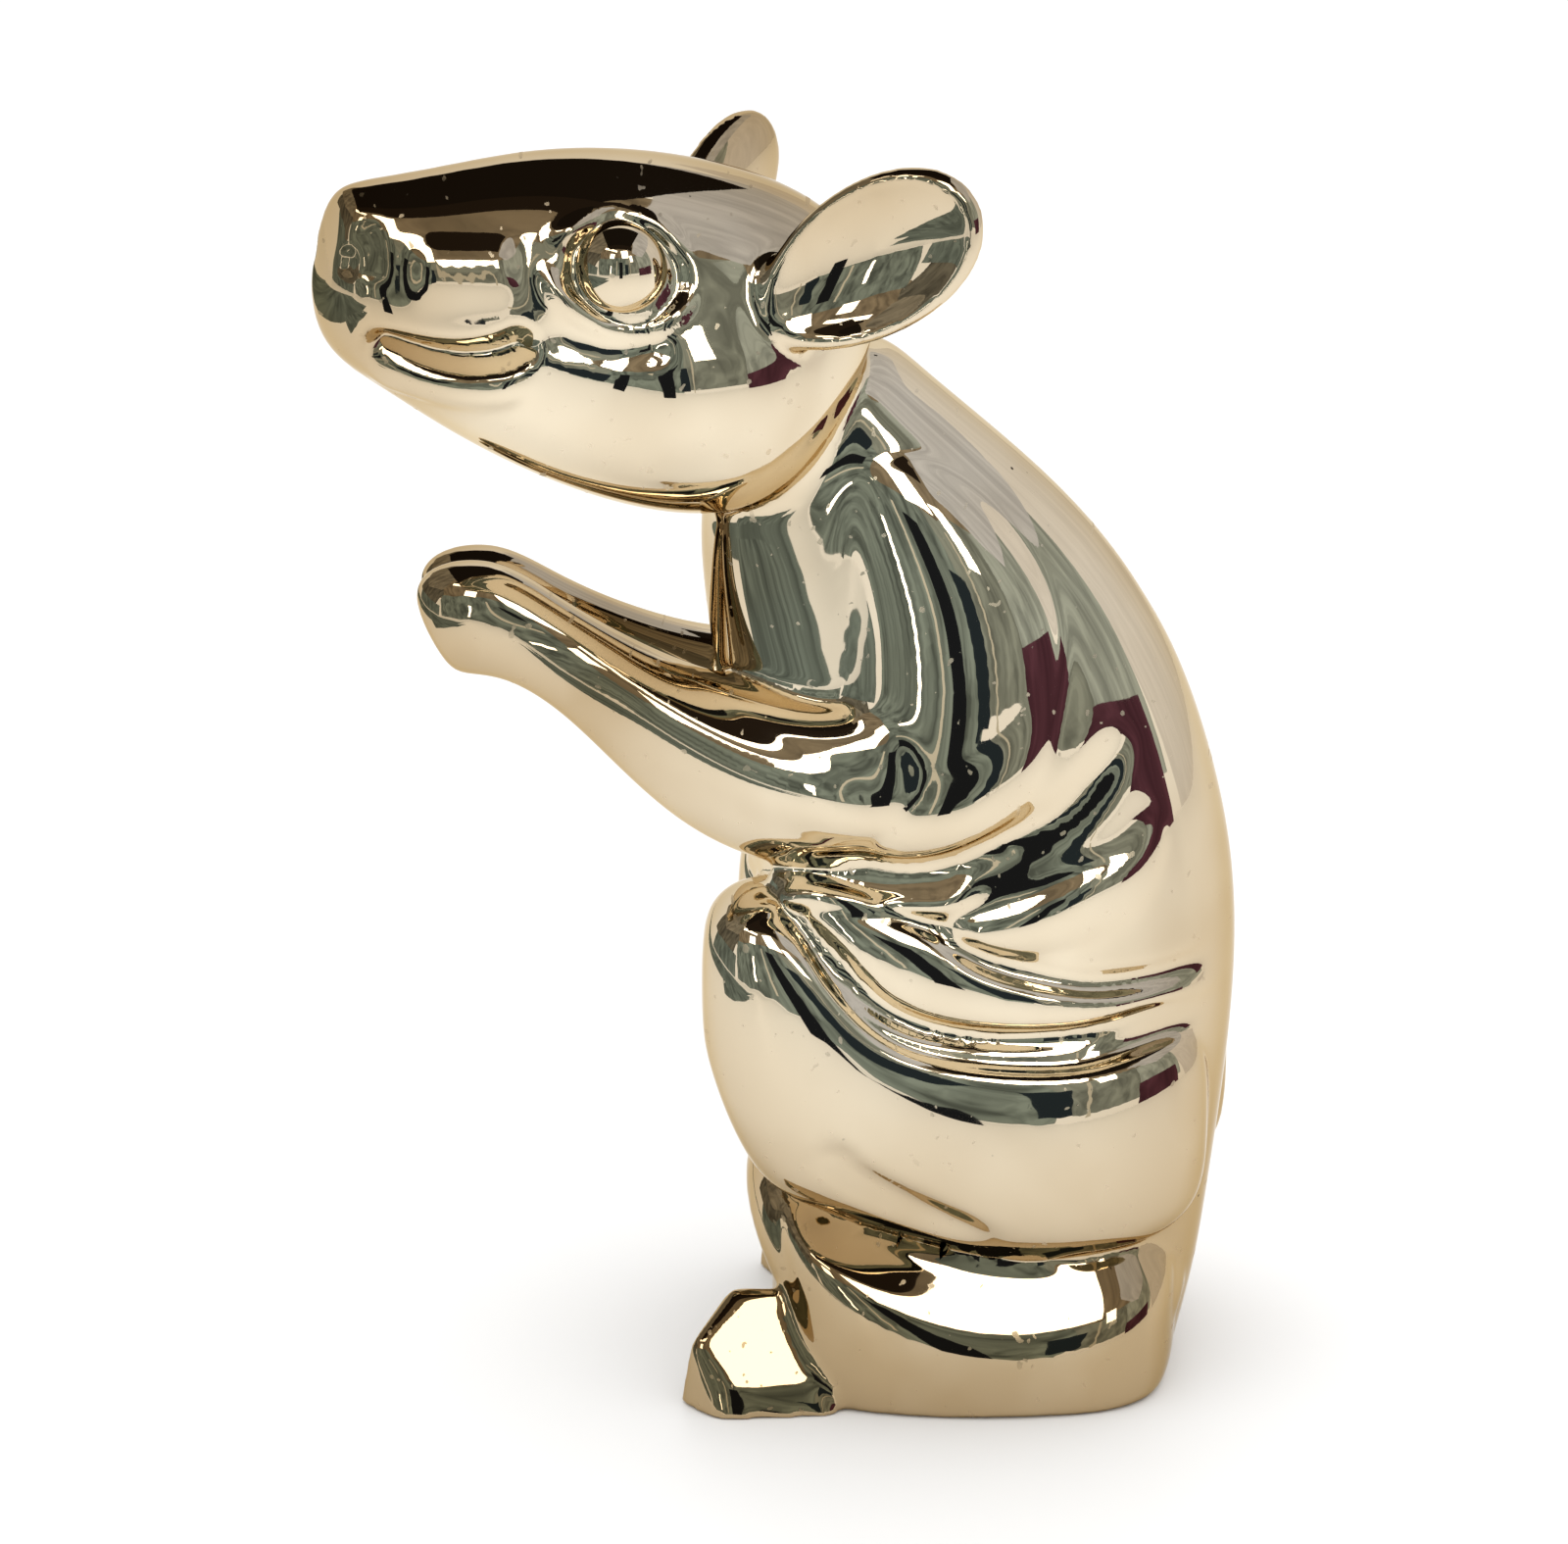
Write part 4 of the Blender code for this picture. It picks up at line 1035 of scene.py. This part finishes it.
card("wall_left", -95, 31, 2.45, 3.3, 1.5, (0.13, 0.125, 0.105), streaks=0.45)
card("wall_left_low", -85, 6, 2.4, 3.0, 0.9, (0.15, 0.19, 0.185), streaks=0.4)
card("wall_front", -15, 22, 2.5, 3.4, 2.1, TEAL, streaks=0.5)
card("wall_right", 36, 22, 2.4, 1.3, 1.7, (0.24, 0.27, 0.25), streaks=0.35)
card("wall_beside", 68, 22, 2.35, 1.7, 1.6, (0.36, 0.41, 0.40), streaks=0.3)
card("pale_right", 125, 22, 2.3, 3.2, 2.0, (0.80, 0.79, 0.80), streaks=0.06)
card("ceiling", 0, 62, 2.2, 5.0, 1.7, (0.24, 0.20, 0.145), streaks=0.4)
card("ceiling_left", -110, 50, 2.3, 3.0, 1.6, (0.23, 0.21, 0.17), streaks=0.4)
card("dark_top", 180, 80, 1.7, 1.6, 2.0, (0.012, 0.009, 0.007))
card("dark_ridge", 0, 68, 1.6, 1.5, 0.30, (0.02, 0.014, 0.01))
card("grey_right", 105, 53, 2.0, 2.9, 1.0, (0.58, 0.60, 0.66), streaks=0.15)
card("plum", 66, 6, 1.3, 0.80, 0.36, (0.09, 0.035, 0.055), streaks=0.3)
card("dark_post", 3, 14, 0.75, 0.10, 0.5, (0.012, 0.014, 0.018))
card("dark_box", 18, 14, 1.2, 0.16, 0.5, (0.02, 0.03, 0.04))
card("pale_post", -6, 18, 1.2, 0.03, 0.7, (0.7, 0.68, 0.6))
card("pale_edge", 27, 18, 1.4, 0.03, 0.9, (0.6, 0.58, 0.5))
card("window", 18, 49, 1.6, 0.40, 0.50, DAYLIGHT, WINDOW_GLOW)
card("window_beside", 34, 37, 1.6, 0.17, 0.40, DAYLIGHT, WINDOW_GLOW)
card("strip", -20, 13, 1.3, 0.045, 0.42, (1, 0.98, 0.95), LAMP_GLOW)
card("lamp", -32, 58, 1.7, 0.8, 0.13, (1, 0.96, 0.88), LAMP_GLOW)
card("lamp_end", -21, 44, 1.6, 0.27, 0.30, DAYLIGHT, LAMP_GLOW)
low_glow = bpy.data.materials["wall_left_low"]
hang("low_card", (-0.1, -0.78, 0.002), LEVEL, 1.7, 0.9, low_glow)
hang("low_near_card", (0.26, -0.30, 0.004), LEVEL, 0.42, 0.16, low_glow)

LAMP_SIZE = 2.0
LAMP_ENERGY = 10.0
LAMP_PLACE = (0.0, 0.0, 1.6)
ROOM_STRENGTH = 1.05
lamp_data = bpy.data.lights.new("floor_light", "AREA")
lamp_data.size = LAMP_SIZE
lamp_data.energy = LAMP_ENERGY
lamp = bpy.data.objects.new("floor_light", lamp_data)
lamp.location = LAMP_PLACE
lamp.visible_glossy = False
bpy.context.scene.collection.objects.link(lamp)
world = bpy.data.worlds.new("studio")
bpy.context.scene.world = world
world.use_nodes = True
world.node_tree.nodes["Background"].inputs["Color"].default_value = WHITE
world.node_tree.nodes["Background"].inputs["Strength"].default_value = ROOM_STRENGTH
bpy.context.scene.view_settings.view_transform = "Standard"
